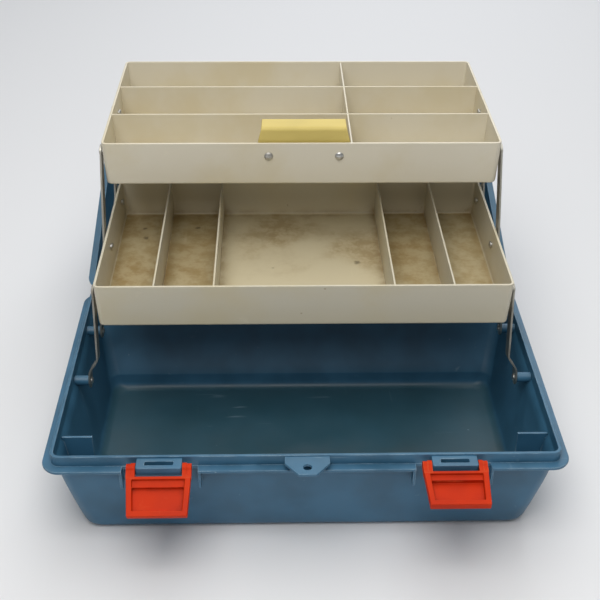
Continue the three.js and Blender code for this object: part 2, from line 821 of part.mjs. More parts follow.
/** The pull: a plate behind the top tray's front wall, with a lip bent back over it. */
function trayPull() {
  const top = tray.height + pull.rise;
  const low = tray.height - pull.drop;
  const y0 = tray.wall + tray.draft + gap;
  const y1 = y0 + pull.thickness;
  const lipBack = y0 + pull.lip;
  const inside = top - pull.lipSlope - pull.thickness; // underside of the lip at its bend
  const bent = plateX(outline([
    [y0, low],
    [y1, low],
    [y1, inside - pull.innerBend],
    [y1 + pull.innerBend, inside],
    [lipBack, top - pull.thickness],
    [lipBack, top],
    [y0 + pull.bend, top - pull.lipSlope],
    [y0, top - pull.lipSlope - pull.bend],
  ]), -pull.bottomWidth, pull.bottomWidth);
  const taper = (pull.bottomWidth - pull.topWidth) / 2;
  const bottomHalf = pull.bottomWidth / 2;
  const topHalf = bottomHalf - taper;
  const face = new THREE.Shape();
  face.moveTo(-bottomHalf, low - cut);
  face.lineTo(bottomHalf, low - cut);
  face.lineTo(bottomHalf, tray.height);
  face.lineTo(topHalf, top + cut);
  face.lineTo(-topHalf, top + cut);
  face.lineTo(-bottomHalf, tray.height);
  face.closePath();
  const planShape = new THREE.Shape();
  planShape.moveTo(-bottomHalf - cut, y0 - cut);
  planShape.lineTo(bottomHalf + cut, y0 - cut);
  planShape.lineTo(bottomHalf + cut, lipBack - pull.corner);
  planShape.absarc(topHalf - pull.corner, lipBack - pull.corner, pull.corner, 0, Math.PI / 2);
  planShape.absarc(-topHalf + pull.corner, lipBack - pull.corner, pull.corner, Math.PI / 2, Math.PI);
  planShape.lineTo(-bottomHalf - cut, lipBack - pull.corner);
  planShape.closePath();
  let shell = bent.intersect(plateY(face, -cut, lipBack + cut));
  shell = shell.intersect(plateZ(planShape, low - cut, top + cut));
  for (const side of [-1, 1]) {
    const x = side * rivet.pullSpacing / 2;
    shell = shell.subtract(barY(rivet.shank + gap, x, y0 - cut, y1 + cut, tray.height - rivet.pullDrop));
  }
  return shell;
}

// ---------------------------------------------------------------- links and rivets

/** A rivet along +Z: a domed head below z = 0, then these [radius, z] corners of its shank. */
function domedRivet(headRadius, shankCorners) {
  const profile = [];
  const domeSteps = 3;
  for (let step = 0; step <= domeSteps; step += 1) {
    const angle = (step / domeSteps) * (Math.PI / 2);
    profile.push([headRadius * Math.sin(angle), -rivet.headHeight * Math.cos(angle)]);
  }
  const points = [...profile, ...shankCorners].map(([radius, z]) => new THREE.Vector2(radius, z));
  return solid(new THREE.LatheGeometry(points, 14).rotateX(Math.PI / 2));
}

/** A rivet with a flat head above `grip`. */
function rivetShape(headRadius, grip) {
  const end = grip + rivet.tailHeight;
  return domedRivet(headRadius, [
    [rivet.shank, 0],
    [rivet.shank, grip],
    [rivet.tail, grip],
    [rivet.tail, end],
    [0, end],
  ]);
}

/** A rivet with a plain shank that ends inside a boss. */
function footRivetShape() {
  const end = shankEnd - footInner;
  return domedRivet(rivet.head, [[rivet.shank, 0], [rivet.shank, end], [0, end]]);
}

/** Turn a rivet drawn along Z so that its domed head points to -X or +X. */
function rivetAlongX(shape, headSide) {
  return shape.rotate([0, headSide < 0 ? 90 : -90, 0]);
}

/**
 * The side view of a strip's thickness: level with the tray at the top, and
 * stepped outwards near its foot. Drawn with u along the strip from the foot.
 */
function joggleProfile(length) {
  const t = link.thickness;
  const low = -link.width;
  const high = length + link.width;
  const bendStart = link.joggleStart;
  const bendEnd = link.joggleStart + link.joggleRun;
  const skew = t * Math.tan(Math.atan2(link.joggle, link.joggleRun) / 2); // keeps the bend as thick
  return outline([
    [low, footInner],
    [bendStart, footInner],
    [bendEnd, linkInner],
    [high, linkInner],
    [high, linkInner + t],
    [bendEnd + skew, linkInner + t],
    [bendStart + skew, footInner + t],
    [low, footInner + t],
  ]);
}

/** A right-hand strip standing up from its foot pivot, with holes at the given points. */
function linkStrip(points, joggled) {
  let shape = null;
  for (let i = 1; i < points.length; i += 1) {
    const piece = plateX(strip(points[i - 1], points[i], link.width), linkInner - cut, footOuter + cut, 8);
    shape = shape ? shape.add(piece) : piece;
  }
  const length = points.reduce((sum, point, i) => sum + (i ? point.distanceTo(points[i - 1]) : 0), 0);
  const slice = joggled
    ? stepSlice(length)
    : block(linkInner, linkOuter, -2 * length, 2 * length, -link.width, 2 * length);
  shape = shape.intersect(slice);
  for (const point of points) {
    shape = shape.subtract(barX(rivet.shank + gap, linkInner - cut, footOuter + cut, point.x, point.y));
  }
  return shape;
}

/** The joggled side view as a solid, wide enough for any strip. */
function stepSlice(length) {
  const profile = joggleProfile(length);
  const geometry = new THREE.ExtrudeGeometry(profile, { depth: 4 * length, bevelEnabled: false });
  const turn = new THREE.Matrix4().makeBasis(
    new THREE.Vector3(0, 0, 1), new THREE.Vector3(1, 0, 0), new THREE.Vector3(0, 1, 0));
  return solid(geometry.applyMatrix4(turn).translate(0, -2 * length, 0));
}

const kink = openLower.angle() - openUpper.angle();
const straightUp = new THREE.Vector2(0, link.lowerLength);
const kinkedUp = new THREE.Vector2(0, link.upperLength).rotateAround(origin2, -kink).add(straightUp);

const shortLink = () => linkStrip([origin2, straightUp], true);
const longLink = () => linkStrip([origin2, straightUp, kinkedUp], true);
const rearLink = () => linkStrip([origin2, new THREE.Vector2(0, link.upperLength)], false);

// ---------------------------------------------------------------- latches

/** The lever's face from ears to tip, drawn hanging from its pivot. */
function leverFace(margin, from, to) {
  const half = (z) => {
    const share = Math.max(-z, 0) / latch.length;
    return latch.topWidth / 2 - ((latch.topWidth - latch.tipWidth) / 2) * share - margin;
  };
  return outline([[-half(to), to], [half(to), to], [half(from), from], [-half(from), from]]);
}

/** A latch lever hanging straight down, hollow side to the front. */
function latchLever() {
  const d = latch.halfDepth;
  const barLow = -latch.barStart - latch.bar;
  const shelfLow = barLow - latch.step;
  const tip = -latch.length;
  let lever = plateY(leverFace(0, 0, tip), -d, d);
  const hollow = leverFace(latch.border, shelfLow, tip + latch.border);
  lever = lever.subtract(plateY(hollow, -d - cut, d - latch.panel));
  const shelf = leverFace(latch.border, barLow, shelfLow);
  lever = lever.subtract(plateY(shelf, -d - cut, d - latch.panel - latch.stepRise));
  const innerEar = latch.lugWidth / 2 + gap;
  const opening = block(-latch.topWidth, latch.topWidth, -d - cut, d + cut, -latch.barStart, cut);
  lever = lever.subtract(opening).add(pair(earPair(innerEar)));
  return lever.subtract(barX(latch.trunnion + gap, -latch.topWidth, latch.topWidth, 0, 0));
}

/** The two ears on one side: the inner one is taller, and a web joins them below. */
function earPair(inner) {
  const split = inner + latch.ear;
  const outer = latch.topWidth / 2;
  const d = latch.halfDepth;
  const root = -latch.barStart - latch.earRoot;
  const ear = (radius) => {
    const shape = new THREE.Shape();
    shape.moveTo(-d, root);
    shape.lineTo(d, root);
    shape.lineTo(d, -radius);
    shape.absarc(0, 0, radius, 0, Math.PI);
    shape.lineTo(-d, -radius);
    shape.closePath();
    return shape;
  };
  const innerPart = plateX(ear(latch.innerEarRadius), inner, split, 8);
  const outerPart = plateX(ear(latch.outerEarRadius), split - 0.01, outer, 8);
  return innerPart.add(outerPart);
}

// ---------------------------------------------------------------- assembly

const pullFaceLean = tray.draft * (rivet.pullDrop / tray.height); // of the tray's front wall, at its rivets
const group = new THREE.Group();

/** Add a mesh to a parent, at a place and turned about X by degrees. */
function place(parent, part, x, y, z, turn = 0) {
  part.position.set(x, y, z);
  part.rotation.x = radians(turn);
  parent.add(part);
  return part;
}

const sides = [['left', -1], ['right', 1]];

place(group, mesh('base_shell', baseShell(), bluePlastic), 0, 0, 0);

const lidGroup = new THREE.Group();
lidGroup.position.set(0, hingeY, flangeTop);
lidGroup.rotation.x = -radians(lid.openAngle);
group.add(lidGroup);
place(lidGroup, mesh('lid_shell', lidShell(), bluePlastic), 0, 0, 0);

const handleY = front + handle.setback - hingeY;
place(lidGroup, mesh('carry_handle', carryHandle(), bluePlastic), 0, handleY, handlePivotZ);

const middleGroup = new THREE.Group();
middleGroup.position.set(0, middleFront, middleBottom);
group.add(middleGroup);
place(middleGroup, mesh('middle_tray', middleTray(), creamPlastic), 0, 0, 0);

const topGroup = new THREE.Group();
topGroup.position.set(0, topFront, topBottom);
group.add(topGroup);
place(topGroup, mesh('top_tray', topTray(), creamPlastic), 0, 0, 0);
for (const [name, plate] of topDividers()) {
  place(topGroup, mesh(name, plate, creamPlastic), 0, 0, 0);
}
place(topGroup, mesh('tray_pull', trayPull(), yellowPlastic), pull.offset, 0, 0);

const longTurn = THREE.MathUtils.radToDeg(openLower.angle()) - 90;
const rearTurn = THREE.MathUtils.radToDeg(openUpper.angle()) - 90;
const rearFoot = middleFront + rearPivot;
const trayPivotZ = tray.height - link.pivotDrop;
const trayGrip = tray.wall + tray.draft + link.sideGap + link.thickness + gap;

for (const [name, side] of sides) {
  const handed = (shape) => (side > 0 ? shape : mirrored(shape));

  const shortStrip = handed(shortLink());
  place(group, mesh(`front_link_${name}`, shortStrip, platedSteel), 0, shortFoot, footHeight, longTurn);
  place(group, mesh(`long_link_${name}`, handed(longLink()), platedSteel), 0, longFoot, footHeight, longTurn);
  place(group, mesh(`rear_link_${name}`, handed(rearLink()), platedSteel),
    0, rearFoot, middleBottom + trayPivotZ, rearTurn);

  const footRivets = [['front_foot', shortFoot], ['long_foot', longFoot]];
  for (const [where, y] of footRivets) {
    const part = mesh(`${where}_rivet_${name}`, rivetAlongX(footRivetShape(), -side), brightMetal);
    place(group, part, side * (footInner - gap), y, footHeight);
  }

  const trayRivets = [
    ['middle_front', middleGroup, link.frontInset],
    ['middle_centre', middleGroup, middlePivot],
    ['middle_rear', middleGroup, rearPivot],
    ['top_front', topGroup, link.frontInset],
    ['top_rear', topGroup, link.frontInset + upperSpacing],
  ];
  const headX = trayLength / 2 - tray.wall - tray.draft - gap;
  for (const [where, parent, y] of trayRivets) {
    const shape = rivetAlongX(rivetShape(rivet.head, trayGrip + gap), -side);
    place(parent, mesh(`${where}_rivet_${name}`, shape, brightMetal), side * headX, y, trayPivotZ);
  }

  const pullRivet = rivetShape(rivet.pull, tray.draft + tray.wall + pull.thickness + 3 * gap);
  place(topGroup, mesh(`pull_rivet_${name}`, pullRivet.rotate([-90, 0, 0]), brightMetal),
    pull.offset + side * rivet.pullSpacing / 2, pullFaceLean - gap, tray.height - rivet.pullDrop);

  const tilt = side < 0 ? latch.leftTilt : latch.rightTilt;
  place(group, mesh(`latch_lever_${name}`, latchLever(), orangePlastic),
    side * latch.spacing / 2, latchPivotY, latchPivotZ, -tilt);

  place(lidGroup, mesh(`handle_pin_${name}`, handlePin(side), platedSteel), 0, handleY, handlePivotZ);
  place(lidGroup, mesh(`hinge_pin_${name}`, hingePin(), platedSteel), side * hinge.spacing / 2, 0, 0);
}

export default group;
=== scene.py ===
"""A hinged plastic workbox with two cantilever trays, finished for looks.

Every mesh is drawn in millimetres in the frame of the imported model, +X to the
right, +Y to the back and +Z up, and is brought to metres when it is finished.
"""

from __future__ import annotations

import logging
import math
from dataclasses import dataclass, field
from enum import Enum
from typing import Callable, Iterable, Sequence

import bmesh
import bpy
from mathutils import Matrix, Vector

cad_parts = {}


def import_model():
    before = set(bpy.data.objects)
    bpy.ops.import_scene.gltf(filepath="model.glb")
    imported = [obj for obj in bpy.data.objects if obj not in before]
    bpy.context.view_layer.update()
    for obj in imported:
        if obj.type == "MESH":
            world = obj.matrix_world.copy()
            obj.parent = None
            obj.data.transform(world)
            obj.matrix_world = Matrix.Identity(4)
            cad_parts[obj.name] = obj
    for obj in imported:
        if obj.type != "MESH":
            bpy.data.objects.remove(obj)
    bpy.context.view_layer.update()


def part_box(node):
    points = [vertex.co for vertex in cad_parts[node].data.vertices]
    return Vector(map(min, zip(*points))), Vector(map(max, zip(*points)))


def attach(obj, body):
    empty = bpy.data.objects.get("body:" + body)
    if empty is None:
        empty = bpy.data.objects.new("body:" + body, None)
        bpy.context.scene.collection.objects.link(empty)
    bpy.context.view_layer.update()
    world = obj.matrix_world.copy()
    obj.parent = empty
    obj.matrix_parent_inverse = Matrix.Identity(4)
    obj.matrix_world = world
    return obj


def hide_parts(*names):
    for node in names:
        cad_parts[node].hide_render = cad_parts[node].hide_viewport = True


LOG = logging.getLogger("workbox")
MM = 0.001
STEEP = 0.15  # half the width, along X, of a notch's side wall
SIDES = {"left": -1, "right": 1}

Colour = tuple[float, float, float]
Point = tuple[float, float]


# ---------------------------------------------------------------- shader tools


class Graph:
    """Short calls that add nodes to one node tree and link them."""

    def __init__(self, tree: bpy.types.NodeTree) -> None:
        """Keep the tree that nodes are added to."""
        self.tree = tree

    def add(self, kind: str, inputs: dict | None = None, **settings: object) -> bpy.types.Node:
        """Add a node.

        Args:
            kind: The node's type, without the ShaderNode in front.
            inputs: Socket name or index to a value or to another node's output.
            settings: Properties of the node.

        Returns:
            The new node.
        """
        node = self.tree.nodes.new("ShaderNode" + kind)
        for name, value in settings.items():
            setattr(node, name, value)
        for key, value in (inputs or {}).items():
            self.feed(node.inputs[key], value)
        return node

    def feed(self, socket: bpy.types.NodeSocket, value: object) -> None:
        """Link an output to a socket, or set the socket's own value."""
        if isinstance(value, bpy.types.NodeSocket):
            self.tree.links.new(value, socket)
        else:
            socket.default_value = value

    def math(self, operation: str, a: object, b: object = 0.0) -> bpy.types.NodeSocket:
        """Return the clamped result of one sum on two values."""
        return self.add("Math", {0: a, 1: b}, operation=operation, use_clamp=True).outputs[0]

    def times(self, first: object, *others: object) -> bpy.types.NodeSocket:
        """Return the clamped product of two or more values."""
        for value in others:
            first = self.math("MULTIPLY", first, value)
        return first

    def ramp(self, value: object, low: object, high: object) -> bpy.types.NodeSocket:
        """Return a value that goes smoothly from 0 at low to 1 at high."""
        inputs = {0: value, 1: low, 2: high}
        return self.add("MapRange", inputs, interpolation_type="SMOOTHSTEP").outputs[0]

    def noise(self, vector: object, scale: object, detail: float = 2.0, rough: float = 0.5) -> bpy.types.NodeSocket:
        """Return a plain noise value over the surface."""
        inputs = {"Vector": vector, "Scale": scale, "Detail": detail, "Roughness": rough}
        return self.add("TexNoise", inputs).outputs[0]

    def mix(self, factor: object, a: object, b: object) -> bpy.types.NodeSocket:
        """Return one colour blended into another."""
        node = self.add("Mix", data_type="RGBA")
        for index, value in ((0, factor), (6, a), (7, b)):
            if index and not isinstance(value, bpy.types.NodeSocket):
                value = (*value, 1.0)
            self.feed(node.inputs[index], value)
        return node.outputs[2]


class Effect(Enum):
    """The shader node groups that more than one finish uses."""

    EDGE_WEAR = "edge_wear"
    # Darkens inner corners by how enclosed they are: painted shade in creases, and grime.
    CREASE_SHADE_AND_DIRT = "crease_dirt"
    GRAIN = "moulded_grain"
    SCUFFS = "scuffs"
    SPECKS = "specks"
    STAINS = "stains"
    DUST = "settled_dust"


class EffectLibrary:
    """Builds each shared node group once and places it in materials."""

    def __init__(self) -> None:
        """Start with no groups."""
        self.groups: dict[Effect, bpy.types.NodeTree] = {}

    def place(self, graph: Graph, effect: Effect, **inputs: object) -> bpy.types.Node:
        """Place one group in a material.

        Args:
            graph: The material's graph.
            effect: The group to place.
            inputs: Values or outputs for the group's sockets.

        Returns:
            The group node.
        """
        if effect not in self.groups:
            self.groups[effect] = getattr(self, f"_{effect.value}")()
        node = graph.add("Group", node_tree=self.groups[effect])
        for name, value in inputs.items():
            graph.feed(node.inputs[name], value)
        return node

    def mask(self, graph: Graph, effect: Effect, **inputs: object) -> bpy.types.NodeSocket:
        """Place one group in a material and return its mask."""
        return self.place(graph, effect, **inputs).outputs["Mask"]

    def _start(self, effect: Effect, inputs: dict[str, float], outputs: Sequence[str]) -> tuple:
        """Return a new group's tree, its graph, its input sockets and its output sockets."""
        tree = bpy.data.node_groups.new(effect.value, "ShaderNodeTree")
        for name, value in inputs.items():
            socket = tree.interface.new_socket(name, in_out="INPUT", socket_type="NodeSocketFloat")
            socket.default_value = value
        for name in outputs:
            tree.interface.new_socket(name, in_out="OUTPUT", socket_type="NodeSocketFloat")
        given, out = tree.nodes.new("NodeGroupInput"), tree.nodes.new("NodeGroupOutput")
        return tree, Graph(tree), given.outputs, out.inputs

    def _edge_wear(self) -> bpy.types.NodeTree:
        """Build the mask of corners that rub, broken up by noise."""
        tree, g, given, out = self._start(
            Effect.EDGE_WEAR, {"Radius": 0.0012, "Breakup": 60.0, "Amount": 1.0}, ["Mask"])
        rounded = g.add("Bevel", {"Radius": given["Radius"]}, samples=6).outputs[0]
        plain = g.add("NewGeometry").outputs["Normal"]
        dot = g.add("VectorMath", {0: rounded, 1: plain}, operation="DOT_PRODUCT").outputs["Value"]
        edge = g.ramp(dot, 0.995, 0.86)
        space = g.add("TexCoord").outputs["Object"]
        broken = g.ramp(g.noise(space, given["Breakup"], 4.0, 0.65), 0.36, 0.6)
        open_side = g.add("AmbientOcclusion", {"Distance": 0.004}, samples=4, only_local=True).outputs["AO"]
        mask = g.times(edge, broken, g.ramp(open_side, 0.55, 0.8))
        g.feed(out["Mask"], g.times(mask, given["Amount"]))
        return tree

    def _crease_dirt(self) -> bpy.types.NodeTree:
        """Build the mask of inner corners by how enclosed they are, broken up by noise: painted shade in creases,
        and grime.
        """
        tree, g, given, out = self._start(
            Effect.CREASE_SHADE_AND_DIRT, {"Reach": 0.006, "Breakup": 45.0, "Amount": 1.0}, ["Mask"])
        hollow = g.add("AmbientOcclusion", {"Distance": given["Reach"]}, samples=5, only_local=True)
        deep = g.ramp(hollow.outputs["AO"], 0.85, 0.35)
        space = g.add("TexCoord").outputs["Object"]
        broken = g.ramp(g.noise(space, given["Breakup"], 5.0, 0.6), 0.32, 0.62)
        g.feed(out["Mask"], g.times(deep, broken, given["Amount"]))
        return tree

    def _moulded_grain(self) -> bpy.types.NodeTree:
        """Build the fine unevenness of moulded plastic, and its slow change of tone."""
        tree, g, given, out = self._start(
            Effect.GRAIN, {"Fine": 900.0, "Coarse": 26.0}, ["Height", "Tone"])
        space = g.add("TexCoord").outputs["Object"]
        fine = g.noise(space, given["Fine"], 3.0, 0.6)
        coarse = g.noise(space, given["Coarse"], 3.0, 0.55)
        g.feed(out["Height"], g.math("ADD", g.times(fine, 0.35), g.times(coarse, 0.5)))
        g.feed(out["Tone"], g.ramp(g.noise(space, given["Coarse"], 2.0), 0.3, 0.7))
        return tree

    def _scuffs(self) -> bpy.types.NodeTree:
        """Build thin pale rub marks that lie in patches."""
        tree, g, given, out = self._start(Effect.SCUFFS, {"Scale": 60.0, "Amount": 1.0}, ["Mask"])
        space = g.add("TexCoord").outputs["Object"]
        marks: bpy.types.NodeSocket | None = None
        for turn, stretch in ((0.5, (0.12, 1.0, 1.6)), (-0.9, (1.0, 0.1, 1.3)), (1.3, (0.2, 1.4, 0.16))):
            turned = g.add("Mapping", {"Vector": space, "Rotation": (turn, turn, 0.6 * turn), "Scale": stretch})
            streak = g.ramp(g.noise(turned.outputs[0], given["Scale"], 3.0, 0.7), 0.66, 0.74)
            marks = streak if marks is None else g.math("MAXIMUM", marks, streak)
        patch = g.ramp(g.noise(space, 14.0, 2.0), 0.48, 0.66)
        g.feed(out["Mask"], g.times(marks, patch, given["Amount"]))
        return tree

    def _specks(self) -> bpy.types.NodeTree:
        """Build small uneven spots scattered at random."""
        tree, g, given, out = self._start(
            Effect.SPECKS, {"Scale": 60.0, "Size": 0.12, "Share": 0.3}, ["Mask"])
        space = g.add("TexCoord").outputs["Object"]
        bent = g.add("TexNoise", {"Vector": space, "Scale": 220.0, "Detail": 2.0}).outputs["Color"]
        shift = g.add("VectorMath", {0: bent, 3: 0.004}, operation="SCALE").outputs[0]
        moved = g.add("VectorMath", {0: space, 1: shift}, operation="ADD").outputs[0]
        cells = g.add("TexVoronoi", {"Vector": moved, "Scale": given["Scale"]})
        pick = g.add("SeparateXYZ", {0: cells.outputs["Color"]}).outputs
        chosen = g.add("Math", {0: pick[0], 1: given["Share"]}, operation="LESS_THAN").outputs[0]
        size = g.times(given["Size"], g.add("Math", {0: pick[1], 1: 0.3}, operation="ADD").outputs[0])
        spot = g.ramp(cells.outputs["Distance"], size, g.times(size, 0.4))
        g.feed(out["Mask"], g.times(spot, chosen))
        return tree

    def _stains(self) -> bpy.types.NodeTree:
        """Build broad soft patches with a mottled inside."""
        tree, g, given, out = self._start(
            Effect.STAINS, {"Scale": 9.0, "Low": 0.42, "High": 0.66}, ["Mask", "Mottle"])
        space = g.add("TexCoord").outputs["Object"]
        broad = g.noise(space, given["Scale"], 5.0, 0.55)
        g.feed(out["Mask"], g.ramp(broad, given["Low"], given["High"]))
        g.feed(out["Mottle"], g.ramp(g.noise(space, 70.0, 4.0, 0.7), 0.35, 0.7))
        return tree

    def _settled_dust(self) -> bpy.types.NodeTree:
        """Build a thin film on the faces that look up at rest."""
        tree, g, given, out = self._start(Effect.DUST, {"Amount": 0.4}, ["Mask"])
        coordinates = g.add("TexCoord").outputs
        up = g.add("SeparateXYZ", {0: coordinates["Normal"]}).outputs[2]
        film = g.ramp(g.noise(coordinates["Object"], 35.0, 5.0, 0.6), 0.3, 0.75)
        g.feed(out["Mask"], g.times(g.ramp(up, 0.6, 0.95), film, given["Amount"]))
        return tree


EFFECTS = EffectLibrary()


def new_material(name: str) -> tuple[bpy.types.Material, Graph, bpy.types.Node]:
    """Return a new material, its graph and its Principled shader."""
    material = bpy.data.materials.new(name)
    material.use_nodes = True
    return material, Graph(material.node_tree), material.node_tree.nodes["Principled BSDF"]


@dataclass(frozen=True)
class PlasticFinish:
    """A moulded plastic that has been handled for years."""

    name: str
    slot: str
    colour: Colour
    deep: Colour
    worn: Colour
    roughness: float = 0.38
    edge: float = 0.8
    edge_radius: float = 0.0012
    scuffs: float = 0.5
    dust: float = 0.25
    # How strongly inner corners darken: painted shade in creases, and grime.
    dirt: float = 0.5
    grain: float = 0.12
    # Strength of the darker film on low floors: painted shade on the sunken floor, and sediment.
    floor_shade_and_silt: float = 0.0
    shine: float = 0.5

    def material(self) -> bpy.types.Material:
        """Return the finish as a new material."""
        material, g, shader = new_material(self.name)
        grain = EFFECTS.place(g, Effect.GRAIN)
        edge = EFFECTS.mask(g, Effect.EDGE_WEAR, Radius=self.edge_radius, Amount=self.edge)
        dirt = EFFECTS.mask(g, Effect.CREASE_SHADE_AND_DIRT, Amount=self.dirt)
        scuffs = EFFECTS.mask(g, Effect.SCUFFS, Amount=self.scuffs)
        dust = EFFECTS.mask(g, Effect.DUST, Amount=self.dust)
        specks = EFFECTS.mask(g, Effect.SPECKS, Scale=120.0, Size=0.1, Share=0.06)
        body = g.mix(grain.outputs["Tone"], self.deep, self.colour)
        # Inner corners go to a darker blue: painted shade in creases, and grime.
        painted_crease_shade = tuple(0.35 * c for c in self.deep)
        body = g.mix(dirt, body, painted_crease_shade)
        body = g.mix(dust, body, self.worn)
        # Low floors take a darker teal film: painted shade there, and sediment.
        if self.floor_shade_and_silt:
            body = self.shaded_floor_film(g, body)
        marks = g.math("MAXIMUM", scuffs, g.times(specks, self.scuffs))
        pale = g.math("MAXIMUM", edge, marks)
        g.feed(shader.inputs["Base Color"], g.mix(pale, body, self.worn))
        rough = g.math("ADD", g.times(grain.outputs["Tone"], 0.08), self.roughness)
        rough = g.math("ADD", rough, g.times(pale, 0.25))
        g.feed(shader.inputs["Roughness"], g.math("ADD", rough, g.times(dust, 0.3)))
        height = g.math("SUBTRACT", grain.outputs["Height"], g.times(pale, 0.25))
        bump = g.add("Bump", {"Height": height, "Strength": self.grain, "Distance": 0.0006})
        g.feed(shader.inputs["Normal"], bump.outputs[0])
        shader.inputs["Specular IOR Level"].default_value = self.shine
        return material

    def shaded_floor_film(self, g: Graph, body: object) -> bpy.types.NodeSocket:
        """Return the colour with a darker teal film on low floors, browner to the front where stains lie: painted
        shade on the sunken floor, and sediment.
        """
        coordinates = g.add("TexCoord").outputs
        place = g.add("SeparateXYZ", {0: coordinates["Object"]}).outputs
        up = g.add("SeparateXYZ", {0: coordinates["Normal"]}).outputs[2]
        low = g.times(g.ramp(place[2], 0.03, 0.008), g.ramp(up, 0.3, 0.9))
        stains = EFFECTS.place(g, Effect.STAINS, Scale=8.0, Low=0.3, High=0.7)
        brown = g.times(g.ramp(place[1], 0.05, -0.07), stains.outputs["Mask"])
        # Dark teal behind, brown to the front: painted shade on the low floor, and sediment and stain.
        film = g.mix(brown, (0.03, 0.085, 0.105), (0.075, 0.075, 0.055))
        return g.mix(g.times(low, self.floor_shade_and_silt), body, film)


@dataclass(frozen=True)
class TrayFinish:
    """Cream plastic that has yellowed, with rust and thread dye on its floors."""

    name: str
    slot: str
    floor: float
    floor_stain: float
    wall_stain: float
    colour: Colour = (0.66, 0.61, 0.47)
    yellowed: Colour = (0.60, 0.52, 0.33)
    rust: Colour = (0.27, 0.17, 0.055)
    spot: Colour = (0.09, 0.065, 0.03)
    rim: Colour = (0.86, 0.80, 0.62)
    browned: Colour = (0.28, 0.195, 0.062)
    brown_from: float = 0.0

    def material(self) -> bpy.types.Material:
        """Return the finish as a new material."""
        material, g, shader = new_material(self.name)
        coordinates = g.add("TexCoord").outputs
        place = g.add("SeparateXYZ", {0: coordinates["Object"]}).outputs
        up = g.add("SeparateXYZ", {0: coordinates["Normal"]}).outputs[2]
        low = g.ramp(place[2], self.floor + 0.006, self.floor + 0.0015)
        on_floor = g.times(g.ramp(up, 0.55, 0.9), low)
        near_floor = g.ramp(place[2], self.floor + 0.022, self.floor)
        grain = EFFECTS.place(g, Effect.GRAIN, Coarse=18.0)
        stains = EFFECTS.place(g, Effect.STAINS, Scale=11.0)
        edge = EFFECTS.mask(g, Effect.EDGE_WEAR, Radius=0.0011, Amount=0.75)
        dirt = EFFECTS.mask(g, Effect.CREASE_SHADE_AND_DIRT, Reach=0.012, Amount=0.9 * self.floor_stain)
        specks = EFFECTS.mask(g, Effect.SPECKS, Scale=42.0, Size=0.16, Share=0.28)
        fine = EFFECTS.mask(g, Effect.SPECKS, Scale=110.0, Size=0.12, Share=0.05)
        scuffs = EFFECTS.mask(g, Effect.SCUFFS, Scale=45.0, Amount=0.35)
        body = g.mix(g.times(stains.outputs["Mask"], 0.55), self.colour, self.yellowed)
        yellow = g.times(g.math("ADD", on_floor, g.times(near_floor, 0.35)), self.floor_stain)
        body = g.mix(g.times(yellow, 0.75), body, self.yellowed)
        mottled = g.times(stains.outputs["Mask"], g.math("ADD", stains.outputs["Mottle"], 0.35))
        rusty = g.times(mottled, on_floor, self.floor_stain)
        if self.brown_from:
            outer = g.ramp(g.math("ABSOLUTE", place[0]), self.brown_from, self.brown_from + 0.001)
            uneven = g.math("ADD", g.times(stains.outputs["Mottle"], 0.3), 0.5)
            body = g.mix(g.times(outer, on_floor, uneven), body, self.browned)
        body = g.mix(g.times(rusty, 0.6), body, self.rust)
        # Creases near the floor take the rust colour: painted shade in the corners, and rust stain.
        body = g.mix(g.times(dirt, near_floor), body, self.rust)
        spotted = g.times(specks, on_floor, self.floor_stain)
        body = g.mix(g.times(spotted, 0.7), body, self.spot)
        body = g.mix(g.times(fine, self.wall_stain), body, self.rust)
        body = g.mix(g.times(scuffs, 0.4), body, self.rim)
        g.feed(shader.inputs["Base Color"], g.mix(edge, body, self.rim))
        rough = g.math("ADD", g.times(stains.outputs["Mottle"], 0.12), 0.4)
        g.feed(shader.inputs["Roughness"], g.math("ADD", rough, g.times(on_floor, 0.15)))
        bump = g.add("Bump", {"Height": grain.outputs["Height"], "Strength": 0.12, "Distance": 0.0006})
        g.feed(shader.inputs["Normal"], bump.outputs[0])
        shader.inputs["IOR"].default_value = 1.49
        return material


@dataclass(frozen=True)
class MetalFinish:
    """Bare or plated metal, dulled and lightly spotted."""

    name: str
    slot: str
    colour: Colour
    tarnish: Colour
    roughness: float
    brushed: float = 0.4

    def material(self) -> bpy.types.Material:
        """Return the finish as a new material."""
        material, g, shader = new_material(self.name)
        space = g.add("TexCoord").outputs["Object"]
        drawn = g.add("Mapping", {"Vector": space, "Scale": (1.0, 3.0, 0.3)}).outputs[0]
        lines = g.noise(drawn, 1400.0, 2.0, 0.6)
        stains = EFFECTS.place(g, Effect.STAINS, Scale=60.0, Low=0.4, High=0.75)
        specks = EFFECTS.mask(g, Effect.SPECKS, Scale=420.0, Size=0.16, Share=0.16)
        edge = EFFECTS.mask(g, Effect.EDGE_WEAR, Radius=0.0006, Breakup=200.0, Amount=0.5)
        dull = g.times(stains.outputs["Mask"], 0.7)
        body = g.mix(g.math("MAXIMUM", dull, specks), self.colour, self.tarnish)
        bright = tuple(min(1.0, 1.25 * c) for c in self.colour)
        g.feed(shader.inputs["Base Color"], g.mix(edge, body, bright))
        rough = g.math("ADD", g.times(dull, 0.3), self.roughness)
        g.feed(shader.inputs["Roughness"], g.math("ADD", rough, g.times(lines, 0.1)))
        shader.inputs["Metallic"].default_value = 1.0
        height = g.math("SUBTRACT", g.times(lines, self.brushed), specks)
        bump = g.add("Bump", {"Height": height, "Strength": 0.15, "Distance": 0.0003})
        g.feed(shader.inputs["Normal"], bump.outputs[0])
        return material


# ---------------------------------------------------------------- mesh tools


@dataclass(frozen=True)
class Level:
    """One level section of a shell: a rectangle with round corners."""

    z: float
    half: float
    front: float
    back: float
    radius: float


